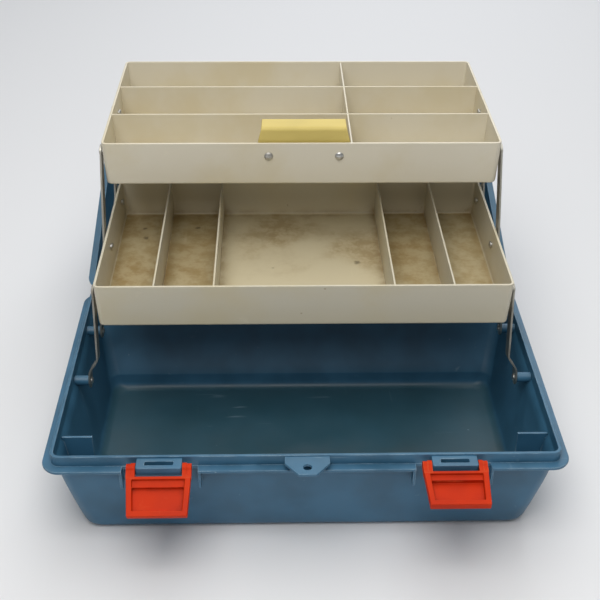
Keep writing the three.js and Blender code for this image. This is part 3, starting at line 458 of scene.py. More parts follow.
class Shape:
    """A mesh in the making, in millimetres."""

    def __init__(self) -> None:
        """Start with an empty mesh."""
        self.bm = bmesh.new()

    def loft(self, levels: Sequence[Level], corner_steps: int = 8) -> list[bmesh.types.BMVert]:
        """Raise a rounded face through level sections, lowest face first.

        Args:
            levels: The sections in order, which may run up, in and down again.
            corner_steps: Segments in each round corner.

        Returns:
            The new vertices.
        """
        bm = self.bm
        before = set(bm.verts)
        made = bmesh.ops.create_grid(bm, x_segments=1, y_segments=1, size=1.0)["verts"]
        rounded = bmesh.ops.bevel(bm, geom=made, offset=0.5, offset_type="OFFSET", affect="VERTICES",
                                  segments=corner_steps, profile=0.5, material=-1)
        cap = rounded["verts"][0].link_faces[0]
        order = [v.co.copy() for v in cap.verts]
        for number, level in enumerate(levels):
            if number:
                grown = bmesh.ops.extrude_face_region(bm, geom=[cap])["geom"]
                fresh = next(e for e in grown if isinstance(e, bmesh.types.BMFace))
                if number > 1:
                    bmesh.ops.delete(bm, geom=[cap], context="FACES_ONLY")
                cap = fresh
            self._set_level(list(cap.verts), order, level)
        return [v for v in bm.verts if v not in before]

    @staticmethod
    def _set_level(verts: list[bmesh.types.BMVert], order: list[Vector], level: Level) -> None:
        """Put a ring of vertices on one section."""
        middle = (level.front + level.back) / 2
        depth = (level.back - level.front) / 2

        def spread(value: float, half: float) -> float:
            return math.copysign(half - level.radius + (2 * abs(value) - 1) * level.radius, value)

        for vert, unit in zip(verts, order):
            vert.co = (spread(unit.x, level.half), middle + spread(unit.y, depth), level.z)

    def plate(self, outline: Sequence[Point], axis: str, start: float, end: float,
              holes: Sequence[tuple[float, float, float]] = (), sides: int = 16) -> list[bmesh.types.BMVert]:
        """Raise a flat plate from an outline, with round holes.

        Args:
            outline: Corners in order. Along X they are (y, z), along Y (x, z), along Z (x, y).
            axis: The letter of the axis that the thickness lies along.
            start: Where the thickness starts on that axis.
            end: Where it ends.
            holes: Middle and radius of each round hole.
            sides: Segments round each hole.

        Returns:
            The new vertices.
        """
        bm = self.bm
        before = set(bm.verts)
        corners = [bm.verts.new((u, v, 0.0)) for u, v in outline]
        edges = [bm.edges.new((a, b)) for a, b in zip(corners, corners[1:] + corners[:1])]
        for u, v, radius in holes:
            ring = bmesh.ops.create_circle(bm, segments=sides, radius=radius, matrix=Matrix.Translation((u, v, 0.0)))
            edges += list({e for vert in ring["verts"] for e in vert.link_edges})
        filled = bmesh.ops.triangle_fill(bm, edges=edges, use_beauty=True, use_dissolve=False)["geom"]
        faces = [e for e in filled if isinstance(e, bmesh.types.BMFace)]
        grown = bmesh.ops.extrude_face_region(bm, geom=faces)["geom"]
        raised = [e for e in grown if isinstance(e, bmesh.types.BMVert)]
        bmesh.ops.translate(bm, vec=(0, 0, end - start), verts=raised)
        verts = [v for v in bm.verts if v not in before]
        turn = {
            "X": Matrix(((0, 0, 1, start), (1, 0, 0, 0), (0, 1, 0, 0), (0, 0, 0, 1))),
            "Y": Matrix(((1, 0, 0, 0), (0, 0, 1, start), (0, 1, 0, 0), (0, 0, 0, 1))),
            "Z": Matrix.Translation((0, 0, start)),
        }[axis]
        bmesh.ops.transform(bm, matrix=turn, verts=verts)
        return verts

    def block(self, low: Sequence[float], high: Sequence[float]) -> list[bmesh.types.BMVert]:
        """Add a block between two corners, for later bevelling."""
        size = [b - a for a, b in zip(low, high)]
        middle = [(a + b) / 2 for a, b in zip(low, high)]
        matrix = Matrix.Translation(middle) @ Matrix.Diagonal((*size, 1.0))
        return bmesh.ops.create_cube(self.bm, size=1.0, matrix=matrix)["verts"]

    def turned(self, profile: Sequence[Point], steps: int = 32) -> list[bmesh.types.BMVert]:
        """Spin a profile of (radius, place) points about the X axis.

        Args:
            profile: From the axis at one end to the axis at the other.
            steps: Segments in the full turn.

        Returns:
            The new vertices.
        """
        bm = self.bm
        before = set(bm.verts)
        verts = [bm.verts.new((place, radius, 0.0)) for radius, place in profile]
        edges = [bm.edges.new(ends) for ends in zip(verts, verts[1:])]
        bmesh.ops.spin(bm, geom=verts + edges, cent=(0, 0, 0), axis=(1, 0, 0), dvec=(0, 0, 0),
                       angle=2 * math.pi, steps=steps, use_merge=True)
        new = [v for v in bm.verts if v not in before]
        bmesh.ops.remove_doubles(bm, verts=new, dist=1e-4)
        return [v for v in bm.verts if v not in before]

    def move(self, verts: Iterable[bmesh.types.BMVert], matrix: Matrix) -> None:
        """Transform some vertices."""
        bmesh.ops.transform(self.bm, matrix=matrix, verts=list(verts))

    def slice(self, point: Sequence[float], normal: Sequence[float],
              keep: Callable[[Vector], bool] = lambda _: True) -> None:
        """Cut edges along a plane, through the faces whose middle is wanted."""
        faces = [f for f in self.bm.faces if keep(f.calc_center_median())]
        parts = {e for f in faces for e in f.edges} | {v for f in faces for v in f.verts}
        bmesh.ops.bisect_plane(self.bm, geom=[*faces, *parts], plane_co=point, plane_no=normal, dist=1e-5)

    def slice_beside(self, x: float, half: float, keep: Callable[[Vector], bool]) -> None:
        """Cut on both sides of a place along X, twice each, so that a notch can start there."""
        for edge in (x - half, x + half):
            for shift in (-STEEP, STEEP):
                self.slice((edge + shift, 0, 0), (1, 0, 0), keep)

    def soften(self, width: float, segments: int = 2, angle: float = 35.0,
               only: Iterable[bmesh.types.BMVert] | None = None) -> None:
        """Bevel every edge that is sharper than an angle.

        Args:
            width: Width of the bevel.
            segments: Steps across it.
            angle: Degrees between two faces from which an edge counts.
            only: The vertices that both ends of an edge have to be among.
        """
        chosen = None if only is None else set(only)
        limit = math.radians(angle)
        edges = [e for e in self.bm.edges if len(e.link_faces) == 2 and e.calc_face_angle(0.0) > limit
                 and (chosen is None or (e.verts[0] in chosen and e.verts[1] in chosen))]
        if edges:
            bmesh.ops.bevel(self.bm, geom=edges, offset=width, offset_type="OFFSET", affect="EDGES",
                            segments=segments, profile=0.5, material=-1, clamp_overlap=True)

    def finish(self, name: str, body: str, material: bpy.types.Material, slot: str,
               replaces: Sequence[str] = (), sharp: float = 40.0) -> bpy.types.Object:
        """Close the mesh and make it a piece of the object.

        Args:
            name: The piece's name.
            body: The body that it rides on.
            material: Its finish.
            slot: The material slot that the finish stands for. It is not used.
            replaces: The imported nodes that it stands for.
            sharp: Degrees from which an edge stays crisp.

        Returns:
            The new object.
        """
        bm = self.bm
        bmesh.ops.remove_doubles(bm, verts=bm.verts, dist=1e-4)
        bmesh.ops.dissolve_degenerate(bm, dist=1e-4, edges=bm.edges)
        bmesh.ops.recalc_face_normals(bm, faces=bm.faces)
        bmesh.ops.scale(bm, vec=(MM, MM, MM), verts=bm.verts)
        for face in bm.faces:
            face.smooth = True
        for edge in bm.edges:
            edge.smooth = edge.calc_face_angle(0.0) < math.radians(sharp)
        loose = sum(1 for edge in bm.edges if not edge.is_manifold)
        mesh = bpy.data.meshes.new(name)
        bm.to_mesh(mesh)
        bm.free()
        mesh.materials.append(material)
        piece = bpy.data.objects.new(name, mesh)
        bpy.context.scene.collection.objects.link(piece)
        piece.modifiers.new("even_normals", "WEIGHTED_NORMAL").keep_sharp = True
        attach(piece, body)
        if replaces:
            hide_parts(*replaces)
        LOG.info("%s: %d faces on %s, %d open edges", name, len(mesh.polygons), body, loose)
        return piece


def arc(middle: Point, radius: float, start: float, end: float, steps: int) -> list[Point]:
    """Return points on an arc, with its angles in degrees."""
    angles = [math.radians(start + (end - start) * i / steps) for i in range(steps + 1)]
    return [(middle[0] + radius * math.cos(a), middle[1] + radius * math.sin(a)) for a in angles]


def box_mm(node: str) -> tuple[Vector, Vector]:
    """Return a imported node's lowest and highest corner in millimetres."""
    low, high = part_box(node)
    return low / MM, high / MM


def centre_mm(node: str) -> Vector:
    """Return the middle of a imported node's box in millimetres."""
    low, high = box_mm(node)
    return (low + high) / 2


def set_in(amount: float, z: float, rim: "Rim", radius: float | None = None) -> Level:
    """Return the rim's outline set in by the same amount all round."""
    return Level(z, rim.half - amount, rim.front + amount, rim.back - amount,
                 max(rim.radius - amount, 1.0) if radius is None else radius)


def round_in(before: float, radius: float) -> float:
    """Return how far a rounding brings a wall in, at a distance before its end."""
    if before >= radius:
        return 0.0
    return radius - math.sqrt(radius**2 - (radius - before) ** 2)


@dataclass(frozen=True)
class Rim:
    """The rim that both halves of the box share."""

    half: float = 200.0
    front: float = -121.25
    back: float = 121.25
    top: float = 80.0
    radius: float = 14.5
    thickness: float = 2.6


@dataclass(frozen=True)
class Finishes:
    """One material for each finish of the box."""

    blue: bpy.types.Material
    handle: bpy.types.Material
    middle: bpy.types.Material
    top: bpy.types.Material
    pull: bpy.types.Material
    latch: bpy.types.Material
    steel: bpy.types.Material
    rivet: bpy.types.Material


RIM = Rim()
HINGE_X, HINGE_Y = 110.0, 125.25  # middle of each hinge, and its axis
KNUCKLE_PITCH = 14.3
KNUCKLE = 7.0  # half the length of a knuckle
LATCH_X = 110.5
TAB_ROOT = 8.0  # how far a lug or a tab reaches in from the rim's edge


# ---------------------------------------------------------------- base


@dataclass
class BaseTub:
    """The lower half of the box, with its rim, corner plates, bosses and lugs."""

    finishes: Finishes
    wall: float = 2.5
    floor: float = 3.0
    wall_inset: float = 9.0
    bellies: tuple[float, float, float] = (14.0, 12.0, 31.0)
    curve: float = 1.25
    kick: tuple[float, float] = (18.0, 1.5)
    corner: tuple[float, float] = (9.0, 14.0)
    round: float = 8.0
    tongue: tuple[float, float, float] = (6.7, 9.3, 8.9)
    notch_half: float = 28.5
    guard_drop: float = 18.0
    plate_inner: float = 166.0
    plate_back: float = -79.25
    lug_half: float = 17.15
    lug_front: float = -125.75
    lug_z: tuple[float, float] = (80.6, 87.5)
    pivot: Point = (-121.05, 83.2)

    def section(self, z: float, skin: float, bottom: float) -> Level:
        """Return one level of the wall.

        Args:
            z: Height of the level.
            skin: Distance in from the outer face.
            bottom: Height of the face that the wall rounds into.

        Returns:
            The level section.
        """
        depth = (RIM.top - z) / RIM.top
        edge = self.wall_inset + skin + round_in(z - bottom, self.round - skin / 2)
        end, front = (belly * depth**self.curve for belly in self.bellies[:2])
        top, lean = self.kick
        behind = min((RIM.top - z) / (RIM.top - top), 1.0) ** self.curve
        back = self.bellies[2] * behind + lean * max(1 - z / top, 0.0)
        radius = self.corner[0] + (self.corner[1] - self.corner[0]) * depth - skin
        return Level(z, RIM.half - edge - end, RIM.front + edge + front, RIM.back - edge - back, radius)

    def wall_sections(self, skin: float, bottom: float, top: float) -> list[Level]:
        """Return the levels of one face of the wall, lowest first."""
        radius = self.round - skin / 2
        turns = [bottom + radius * (1 - math.cos(math.radians(a))) for a in (0, 18, 36, 54, 72, 90)]
        kick = self.kick[0]
        rises = [kick - 4.0, kick - 1.5, *(kick + (top - kick) * i / 9 for i in range(10))]
        return [self.section(z, skin, bottom) for z in turns + rises]

    def tub(self) -> Shape:
        """Draw the wall, the rim and the hollow as one closed skin."""
        shape = Shape()
        under = RIM.top - RIM.thickness
        outer, inner, rise = self.tongue
        crest = RIM.top + rise
        levels = self.wall_sections(0.0, 0.0, under - 0.8)
        levels += [set_in(self.wall_inset - 0.4, under, RIM, 9.0)]
        levels += [set_in(a, RIM.top + z, RIM) for a, z in (
            (0.7, -2.6), (0.2, -2.4), (0.0, -1.9), (0.0, -0.7), (0.2, -0.2), (0.7, 0.0))]
        levels += [set_in(a, z, RIM) for a, z in (
            (outer - 0.5, RIM.top), (outer - 0.1, RIM.top + 0.15), (outer, RIM.top + 0.6),
            (outer, crest - 0.7), (outer + 0.2, crest - 0.2), (outer + 0.7, crest),
            (inner - 0.7, crest), (inner - 0.2, crest - 0.2), (inner, crest - 0.7), (inner, RIM.top + 1.3))]
        levels += [set_in(a, RIM.top + z, RIM, 8.5 - a / 10) for a, z in ((inner + 0.15, -0.2), (inner + 0.6, -1.8))]
        levels += self.wall_sections(self.wall, self.floor, under - 2.4)[::-1]
        shape.loft(levels, corner_steps=10)
        for side in SIDES.values():
            self.cut_notch(shape, side * LATCH_X)
        return shape

    def cut_notch(self, shape: Shape, x: float) -> None:
        """Take the rim back to the tongue where one lever swings."""
        face = RIM.front + self.tongue[0] - 0.4
        under = RIM.top - RIM.thickness
        shape.slice_beside(x, self.notch_half, lambda c: c.y < RIM.front + 12 and c.z > under - 1.4)
        for vert in shape.bm.verts:
            if abs(vert.co.x - x) < self.notch_half and vert.co.y < face and vert.co.z > under - 0.01:
                vert.co.y = face

    def add_plates(self, shape: Shape) -> None:
        """Add the plate that stands across each front corner."""
        heights = [self.floor / 2 + i * (RIM.top - 0.3 - self.floor / 2) / 8 for i in range(9)]
        for side in SIDES.values():
            inner = side * self.plate_inner
            along = [(side * self.section(z, self.wall / 2, self.wall / 2).half, z) for z in heights]
            plate = shape.plate([(inner, heights[0]), *along, (inner, heights[-1])],
                                "Y", self.plate_back - 2.0, self.plate_back)
            shape.soften(0.5, only=plate)

    def add_fittings(self, shape: Shape) -> None:
        """Add the bosses behind the links' feet and the guard ribs beside the levers."""
        boss = [(0, 0), (3.8, 0), (4.2, 0.4), (4.2, 11.9), (0, 11.9)]
        for name, side in SIDES.items():
            for foot in ("long", "front"):
                middle = centre_mm(f"{foot}_foot_rivet_{name}")
                place = Matrix.Translation((side * 178.5, middle.y, middle.z)) @ Matrix.Diagonal((side, 1, 1, 1))
                shape.move(shape.turned(boss, 28), place)
            top, edge = RIM.top - RIM.thickness / 2, RIM.front + 0.8
            low = top - self.guard_drop
            joins = [(self.section(z, self.wall / 2, 0.0).front, z) for z in (low, top)]
            rib = [*joins, (edge, top), (edge, low + 2), (edge + 2, low)]
            for reach in (-self.notch_half, self.notch_half + 2):
                x = side * LATCH_X + reach
                shape.soften(0.5, only=shape.plate(rib, "X", x - 2.0, x))

    def add_lug(self, shape: Shape, x: float) -> None:
        """Add one lug with its slot and the stubs that a lever turns on."""
        low, high = self.lug_z
        back = RIM.front + TAB_ROOT
        outer = [(0.5, low), (0.15, low + 0.15), (0.0, low + 0.5), (0.0, high - 0.6), (0.2, high - 0.2), (0.6, high)]
        levels = [Level(z, self.lug_half - a, self.lug_front + a, back, 1.6) for a, z in outer]
        slot_y = self.pivot[0] + 1.0
        slot = [(-0.4, high), (-0.1, high - 0.15), (0.0, high - 0.5), (0.2, low + 0.8)]
        levels += [Level(z, 10.7 - a, slot_y - 1.95 + a, slot_y + 1.95 - a, 0.9) for a, z in slot]
        shape.move(shape.loft(levels, corner_steps=4), Matrix.Translation((x, 0, 0)))
        for side in SIDES.values():
            stub = shape.turned([(0, 0), (2.4, 0), (2.4, 6.6), (2.0, 7.0), (0, 7.0)], 24)
            place = Matrix.Translation((x + side * (self.lug_half - 1), *self.pivot))
            shape.move(stub, place @ Matrix.Diagonal((side, 1, 1, 1)))

    def build(self) -> None:
        """Build and dress the base."""
        shape = self.tub()
        self.add_plates(shape)
        self.add_fittings(shape)
        add_knuckles(shape, (0, 2, 4), (HINGE_Y, RIM.top), (-RIM.thickness, -0.3))
        shape.finish("base_tub", "base", self.finishes.blue, "blue_shell", ["base_shell"])
        for name, side in SIDES.items():
            lug = Shape()
            self.add_lug(lug, side * LATCH_X)
            lug.finish(f"latch_lug_{name}", "base", self.finishes.blue, "blue_shell")
        crest = RIM.top + self.tongue[2] - 0.9
        tab = padlock_tab(RIM.front + TAB_ROOT, crest - 2.5, crest)
        tab.finish("padlock_tab_base", "base", self.finishes.blue, "blue_shell")


def padlock_tab(root: float, low: float, high: float) -> Shape:
    """Draw a tab with a hole for a padlock, a short straight root and a blunt tip."""
    shape = Shape()
    tip, shoulder = RIM.front - 13.0, RIM.front - 0.7
    outline = [(-17, root), (-17, shoulder), (-6.75, tip), (6.75, tip), (17, shoulder), (17, root)]
    shape.plate(outline, "Z", low, high, holes=[(0.0, tip + 8.0, 3.25)], sides=20)
    shape.soften(0.45, 3)
    return shape


def add_knuckles(shape: Shape, places: Sequence[int], axis: Point, web: Point) -> None:
    """Add every second knuckle of both hinges.

    Args:
        shape: The shape that the knuckles belong to.
        places: Which of the five knuckles of one hinge.
        axis: The (y, z) of the pin.
        web: Lowest and highest z of the web, from the axis.
    """
    half = [(0, KNUCKLE), (3.2, KNUCKLE), (3.6, KNUCKLE - 0.4)]
    profile = [(r, -p) for r, p in half] + half[::-1]
    for side in SIDES.values():
        for place in places:
            x = side * HINGE_X + (place - 2) * KNUCKLE_PITCH
            shape.move(shape.turned(profile, 28), Matrix.Translation((x, *axis)))
            low = (x - KNUCKLE, axis[0] - 7, axis[1] + web[0])
            shape.soften(0.35, only=shape.block(low, (x + KNUCKLE, axis[0] - 0.5, axis[1] + web[1])))


# ---------------------------------------------------------------- lid


@dataclass
class LidShell:
    """The upper half of the box, drawn shut and swung open about its hinge."""

    finishes: Finishes
    wall: float = 2.4
    height: float = 97.9
    inset: float = 3.7
    drafts: Point = (1.5, 3.0)
    belly: float = 13.0
    rounds: tuple[float, float, float] = (22.0, 20.0, 36.0)
    growth: float = 4.0
    taper_start: float = 9.2
    open_angle: float = 161.8
    handle_y: float = -0.25
    handle_z: float = 103.4

    @property
    def swing(self) -> Matrix:
        """The move from the drawn lid, shut at z = 0, to its open place."""
        axis = Matrix.Translation((0, HINGE_Y, RIM.top))
        return axis @ Matrix.Rotation(-math.radians(self.open_angle), 4, "X") @ Matrix.Translation((0, -HINGE_Y, 0))

    def section(self, z: float, skin: float, top: float) -> Level:
        """Return one level of the lid's wall, with its rounding into the top."""
        above = max(z - self.taper_start, 0.0)
        share = above / self.height
        edge = self.inset + skin
        end, front, back = (round_in(top - z, r - skin) for r in self.rounds)
        lean = [math.tan(math.radians(d)) * above for d in self.drafts]
        return Level(z, RIM.half - edge - self.belly * share**2 - end, RIM.front + edge + lean[0] + front,
                     RIM.back - edge - lean[1] - back, RIM.radius - edge + self.growth * share)

    def wall_sections(self, skin: float, top: float) -> list[Level]:
        """Return the levels of one face of the wall, from above the rim to the top."""
        turn = self.rounds[2] - skin
        rises = [self.taper_start + (top - turn - self.taper_start) * i / 6 for i in range(7)]
        turns = [top - turn + turn * math.sin(math.radians(a)) for a in (9, 18, 27, 36, 45, 54, 63, 72, 81, 90)]
        return [self.section(z, skin, top) for z in rises + turns]

    def build(self) -> None:
        """Build and dress the lid, its brackets, its handle and its pins."""
        shape = Shape()
        foot, lip = 0.4, 3.0
        levels = self.wall_sections(0.0, self.height)[::-1]
        levels += [set_in(self.inset, lip + 0.6, RIM), set_in(self.inset - 0.5, lip, RIM)]
        levels += [set_in(a, z, RIM) for a, z in (
            (0.6, lip), (0.15, lip - 0.2), (0.0, lip - 0.7), (0.0, foot + 0.6), (0.15, foot + 0.2), (0.6, foot))]
        inner = self.inset + self.wall
        levels += [set_in(inner - a, foot + z, RIM) for a, z in ((0.5, 0.0), (0.1, 0.2), (0.0, 0.7))]
        levels += self.wall_sections(self.wall, self.height - self.wall)
        shape.loft(levels, corner_steps=10)
        for x, half, top in ((-LATCH_X, 26.0, 8.0), (LATCH_X, 26.0, 8.0), (0.0, 17.6, 8.3)):
            self.cut_notch(shape, x, half, top)
        self.add_catches(shape)
        self.add_brackets(shape)
        add_knuckles(shape, (1, 3), (HINGE_Y, 0.0), (0.4, 3.0))
        shape.move(shape.bm.verts, self.swing)
        shape.finish("lid_cover", "lid", self.finishes.blue, "blue_shell", ["lid_shell"])
        tab = padlock_tab(RIM.front + self.inset + 1, 8.3, 10.8)
        tab.move(tab.bm.verts, self.swing)
        tab.finish("padlock_tab_lid", "lid", self.finishes.blue, "blue_shell")
        self.build_handle()

    def cut_notch(self, shape: Shape, x: float, half: float, top: float) -> None:
        """Lift the front of the rim out of the way of a lug or a tab."""
        face = RIM.front + self.inset
        shape.slice_beside(x, half, lambda c: c.y < RIM.front + 9 and c.z < 20)
        for vert in shape.bm.verts:
            if abs(vert.co.x - x) < half and vert.co.y < face + 2.8 and vert.co.z < top:
                vert.co.y = max(vert.co.y, face)
                vert.co.z = top

    def add_catches(self, shape: Shape) -> None:
        """Add the ledges that the levers hook over, and the blades for the slots."""
        face = RIM.front + self.inset
        for side in SIDES.values():
            x = side * LATCH_X
            ledge = shape.block((x - 15, face - 4.4, 8.0), (x + 15, face + 1, 9.7))
            shape.soften(0.5, 3, only=ledge)
            blade = shape.block((x - 10, -121.35, 2.0), (x + 10, -118.75, 9.0))
            shape.soften(0.5, 2, only=blade)

    def add_brackets(self, shape: Shape) -> None:
        """Add the cheeks and the stop that hold each end of the handle."""
        y, z, root = self.handle_y, self.handle_z, self.height - 1.2
        cheek = [(y - 7.5, root), (y + 7.3, root), (y + 7.3, z + 5.5), (y - 3.5, z + 5.5), (y - 5.5, z)]
        for side in SIDES.values():
            for x in (50.7, 66.3):
                low, high = sorted((side * x, side * (x + 3.0)))
                shape.soften(0.6, 3, only=shape.plate(cheek, "X", low, high))
            low, high = sorted((side * 50.7, side * 69.3))
            shape.soften(0.8, 3, only=shape.block((low, y + 4.8, root), (high, y + 7.3, z + 9.0)))

    def build_handle(self) -> None:
        """Build the folding handle as one bent bar, and its two pins."""
        shape = Shape()
        half, band, thick, turn = 66.0, 12.0, 9.0, 15.0
        middle, far = half - band / 2, -41.0 + band / 2
        ring = bmesh.ops.create_grid(shape.bm, x_segments=1, y_segments=1, size=1.0)["verts"]
        shape.move(ring, Matrix.Translation((middle, 0, 0)) @ Matrix.Rotation(math.pi / 2, 4, "X")
                   @ Matrix.Diagonal((band / 2, thick / 2, 1, 1)))
        bmesh.ops.bevel(shape.bm, geom=ring, offset=3.2, offset_type="OFFSET", affect="VERTICES",
                        segments=5, profile=0.5, material=-1)
        face = shape.bm.faces[:][0]
        corner = far + turn
        runs = (
            ("line", (0, corner, 0)),
            ("turn", ((middle - turn, corner, 0), -math.pi / 2)),
            ("line", (-2 * (middle - turn), 0, 0)),
            ("turn", ((-middle + turn, corner, 0), -math.pi / 2)),
            ("line", (0, -corner, 0)),
        )
        geom: list = [face, *face.edges, *face.verts]
        for kind, value in runs:
            if kind == "line":
                grown = bmesh.ops.extrude_face_region(shape.bm, geom=geom)["geom"]
                verts = [e for e in grown if isinstance(e, bmesh.types.BMVert)]
                bmesh.ops.translate(shape.bm, vec=value, verts=verts)
                geom = grown
            else:
                centre, angle = value
                geom = bmesh.ops.spin(shape.bm, geom=geom, cent=centre, axis=(0, 0, 1), dvec=(0, 0, 0),
                                      angle=angle, steps=10, use_merge=False)["geom_last"]
        for vert in shape.bm.verts:
            if vert.co.y > -0.01:
                vert.co.y += math.sqrt(max((thick / 2) ** 2 - vert.co.z**2, 0.0))
        lift = Matrix.Translation((0, self.handle_y, self.handle_z))
        shape.move(shape.bm.verts, self.swing @ lift)
        shape.finish("grip_handle", "carry_handle", self.finishes.handle, "blue_handle", ["carry_handle"])
        for name in SIDES:
            turned_piece(f"handle_pin_{name}", "lid", self.finishes.steel, "plated_steel")


def turned_piece(node: str, body: str, material: bpy.types.Material, slot: str) -> None:
    """Build a plain pin with rounded ends where a packed pin lies."""
    low, high = box_mm(node)
    radius = (high.z - low.z) / 2
    half = (high.x - low.x) / 2
    angles = [math.radians(a) for a in (0, 30, 60, 90)]
    dome = [(radius * math.sin(a), half - 0.6 * (1 - math.cos(a))) for a in angles]
    shape = Shape()
    shape.turned([(r, -p) for r, p in dome] + [(r, p) for r, p in dome[::-1]], 24)
    shape.move(shape.bm.verts, Matrix.Translation((low + high) / 2))
    shape.finish(f"{node}_rod", body, material, slot, [node])


# ---------------------------------------------------------------- trays


@dataclass
class Tray:
    """One cream tray with its dividers, at the place of a packed tray."""

    node: str
    material: bpy.types.Material
    across: Sequence[float] = ()
    rows: int = 1
    parts: Sequence[str] = ()
    wall: float = 2.0
    floor: float = 2.0
    draft: float = 1.5
    corner: float = 5.0
    divider: float = 1.7
    drop: float = 0.8

    def section(self, z: float, skin: float, low: Vector, high: Vector) -> Level:
        """Return one level of the tray's wall, skin in from its outer face."""
        lean = self.draft * (high.z - z) / (high.z - low.z) + skin
        return Level(z, high.x - lean, low.y + lean, high.y - lean, max(self.corner - skin, 0.6))

    def build(self) -> None:
        """Build and dress the tray."""
        low, high = box_mm(self.node)
        outer = [(1.6, 0.0), (0.9, 0.2), (0.4, 0.6), (0.1, 1.2), (0.0, 2.0)]
        levels = [self.section(low.z + z, a, low, high) for a, z in outer]
        tall = high.z - low.z
        levels += [self.section(low.z + z, 0.0, low, high) for z in (tall * 0.5, tall - 0.7)]
        levels += [self.section(high.z - z, a, low, high) for a, z in (
            (0.08, 0.25), (0.4, 0.0), (self.wall - 0.4, 0.0), (self.wall - 0.08, 0.25), (self.wall, 0.7))]
        levels += [self.section(low.z + tall * 0.5, self.wall, low, high)]
        levels += [self.section(low.z + self.floor + z, self.wall + a, low, high) for a, z in (
            (0.0, 2.4), (0.2, 1.4), (0.7, 0.7), (1.4, 0.2), (2.4, 0.0))]
        shape = Shape()
        shape.loft(levels, corner_steps=8)
        for x in self.across:
            self.add_divider(shape, low, high, (x, None))
        depth = high.y - low.y
        for row in range(1, self.rows):
            self.add_divider(shape, low, high, (None, low.y + depth * row / self.rows))
        shape.finish(f"{self.node}_shell", self.node, self.material, "cream_tray",
                     [self.node, *self.parts])

    def add_divider(self, shape: Shape, low: Vector, high: Vector, place: tuple[float | None, float | None]) -> None:
        """Add one divider, at an x from front to back or at a y from side to side."""
        x, y = place
        half = self.divider / 2
        foot, top = low.z + self.floor - 1.0, high.z - self.drop
        lean = self.draft * (high.z - foot) / (high.z - low.z) + 1.0
        if x is not None:
            corners = (x - half, low.y + lean, foot), (x + half, high.y - lean, top)
        else:
            corners = (low.x + lean, y - half, foot), (high.x - lean, y + half, top)
        block = shape.block(*corners)
        for vert in block:
            rise = (vert.co.z - foot) / (top - foot)
            thin = 1.12 - 0.24 * rise
            if x is not None:
                vert.co.x = x + (vert.co.x - x) * thin
                vert.co.y += math.copysign(self.draft * rise, vert.co.y - (low.y + high.y) / 2)
            else:
                vert.co.y = y + (vert.co.y - y) * thin
                vert.co.x += math.copysign(self.draft * rise, vert.co.x)
        shape.soften(0.35, 3, only=block)


@dataclass
class TrayPull:
    """The yellow pull: a plate behind the tray's front wall, bent back into a lip."""

    finishes: Finishes
    thickness: float = 2.2
    rise: float = 14.0
    half: Point = (38.5, 35.0)

    def build(self) -> None:
        """Build and dress the pull and its two rivets."""
        low, high = box_mm("tray_pull")
        rim = box_mm("top_tray")[1].z
        x = (low.x + high.x) / 2
        t, top = self.thickness, high.z
        front, lip = low.y, high.y
        bend = arc((front + 3.4, top - 4.9), 3.4, 180, 97, 6)
        inside = arc((front + 3.4, top - 4.9), 3.4 - t, 97, 180, 4)
        profile = [(front, low.z), *bend, (lip, top), (lip, top - t), *inside, (front + t, low.z)]
        shape = Shape()
        shape.plate(profile, "X", x - 1.0, x + 1.0)
        shape.slice((0, 0, rim), (0, 0, 1))
        for vert in shape.bm.verts:
            rise = min(max((vert.co.z - rim) / self.rise, 0.0), 1.0)
            half = self.half[0] + (self.half[1] - self.half[0]) * rise
            vert.co.x = x + math.copysign(half, vert.co.x - x)
        ends = [e for e in shape.bm.edges if all(v.co.y > lip - 0.01 for v in e.verts)
                and abs(e.verts[0].co.x - e.verts[1].co.x) < 0.5]
        bmesh.ops.bevel(shape.bm, geom=ends, offset=4.0, offset_type="OFFSET", affect="EDGES", segments=6,
                        profile=0.5, material=-1)
        shape.soften(0.45, 3, 50)
        shape.finish("pull_plate", "top_tray", self.finishes.pull, "yellow_pull", ["tray_pull"])
        for name in SIDES:
            rivet(f"pull_rivet_{name}", "top_tray", self.finishes.rivet, "Y")


# ---------------------------------------------------------------- links and rivets


def rivet(node: str, body: str, material: bpy.types.Material, axis: str = "X") -> None:
    """Build a rivet with a domed head where a packed rivet lies.

    Args:
        node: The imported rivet. Its dome points to the middle of the box, or to the front.
        body: The body that it rides on.
        material: Its finish.
        axis: The letter of the axis that it lies along.
    """
    low, high = box_mm(node)
    middle = (low + high) / 2
    radius = (high.z - low.z) / 2
    along = 0 if axis == "X" else 1
    length = high[along] - low[along]
    angles = [math.radians(a) for a in range(0, 91, 15)]
    dome = [(radius * math.sin(a), 1.55 * (1 - math.cos(a))) for a in angles]
    profile = [*dome, (radius - 0.15, 1.8), (2.0, 1.8), (2.0, length - 0.8)]
    if "foot" not in node:
        profile += [(2.8, length - 0.8), (3.0, length - 0.6), (2.7, length - 0.15)]
    profile += [(0.8, length - 0.05), (0.0, length)]
    shape = Shape()
    shape.turned(profile, 28)
    start = Vector(middle)
    if axis == "Y":
        start.y = low.y
        turn = Matrix.Rotation(math.pi / 2, 4, "Z")
    else:
        start.x = low.x if middle.x > 0 else high.x
        turn = Matrix.Diagonal((math.copysign(1, middle.x), 1, 1, 1))
    shape.move(shape.bm.verts, Matrix.Translation(start) @ turn)
    shape.finish(f"{node}_head", body, material, "rivet_metal", [node])


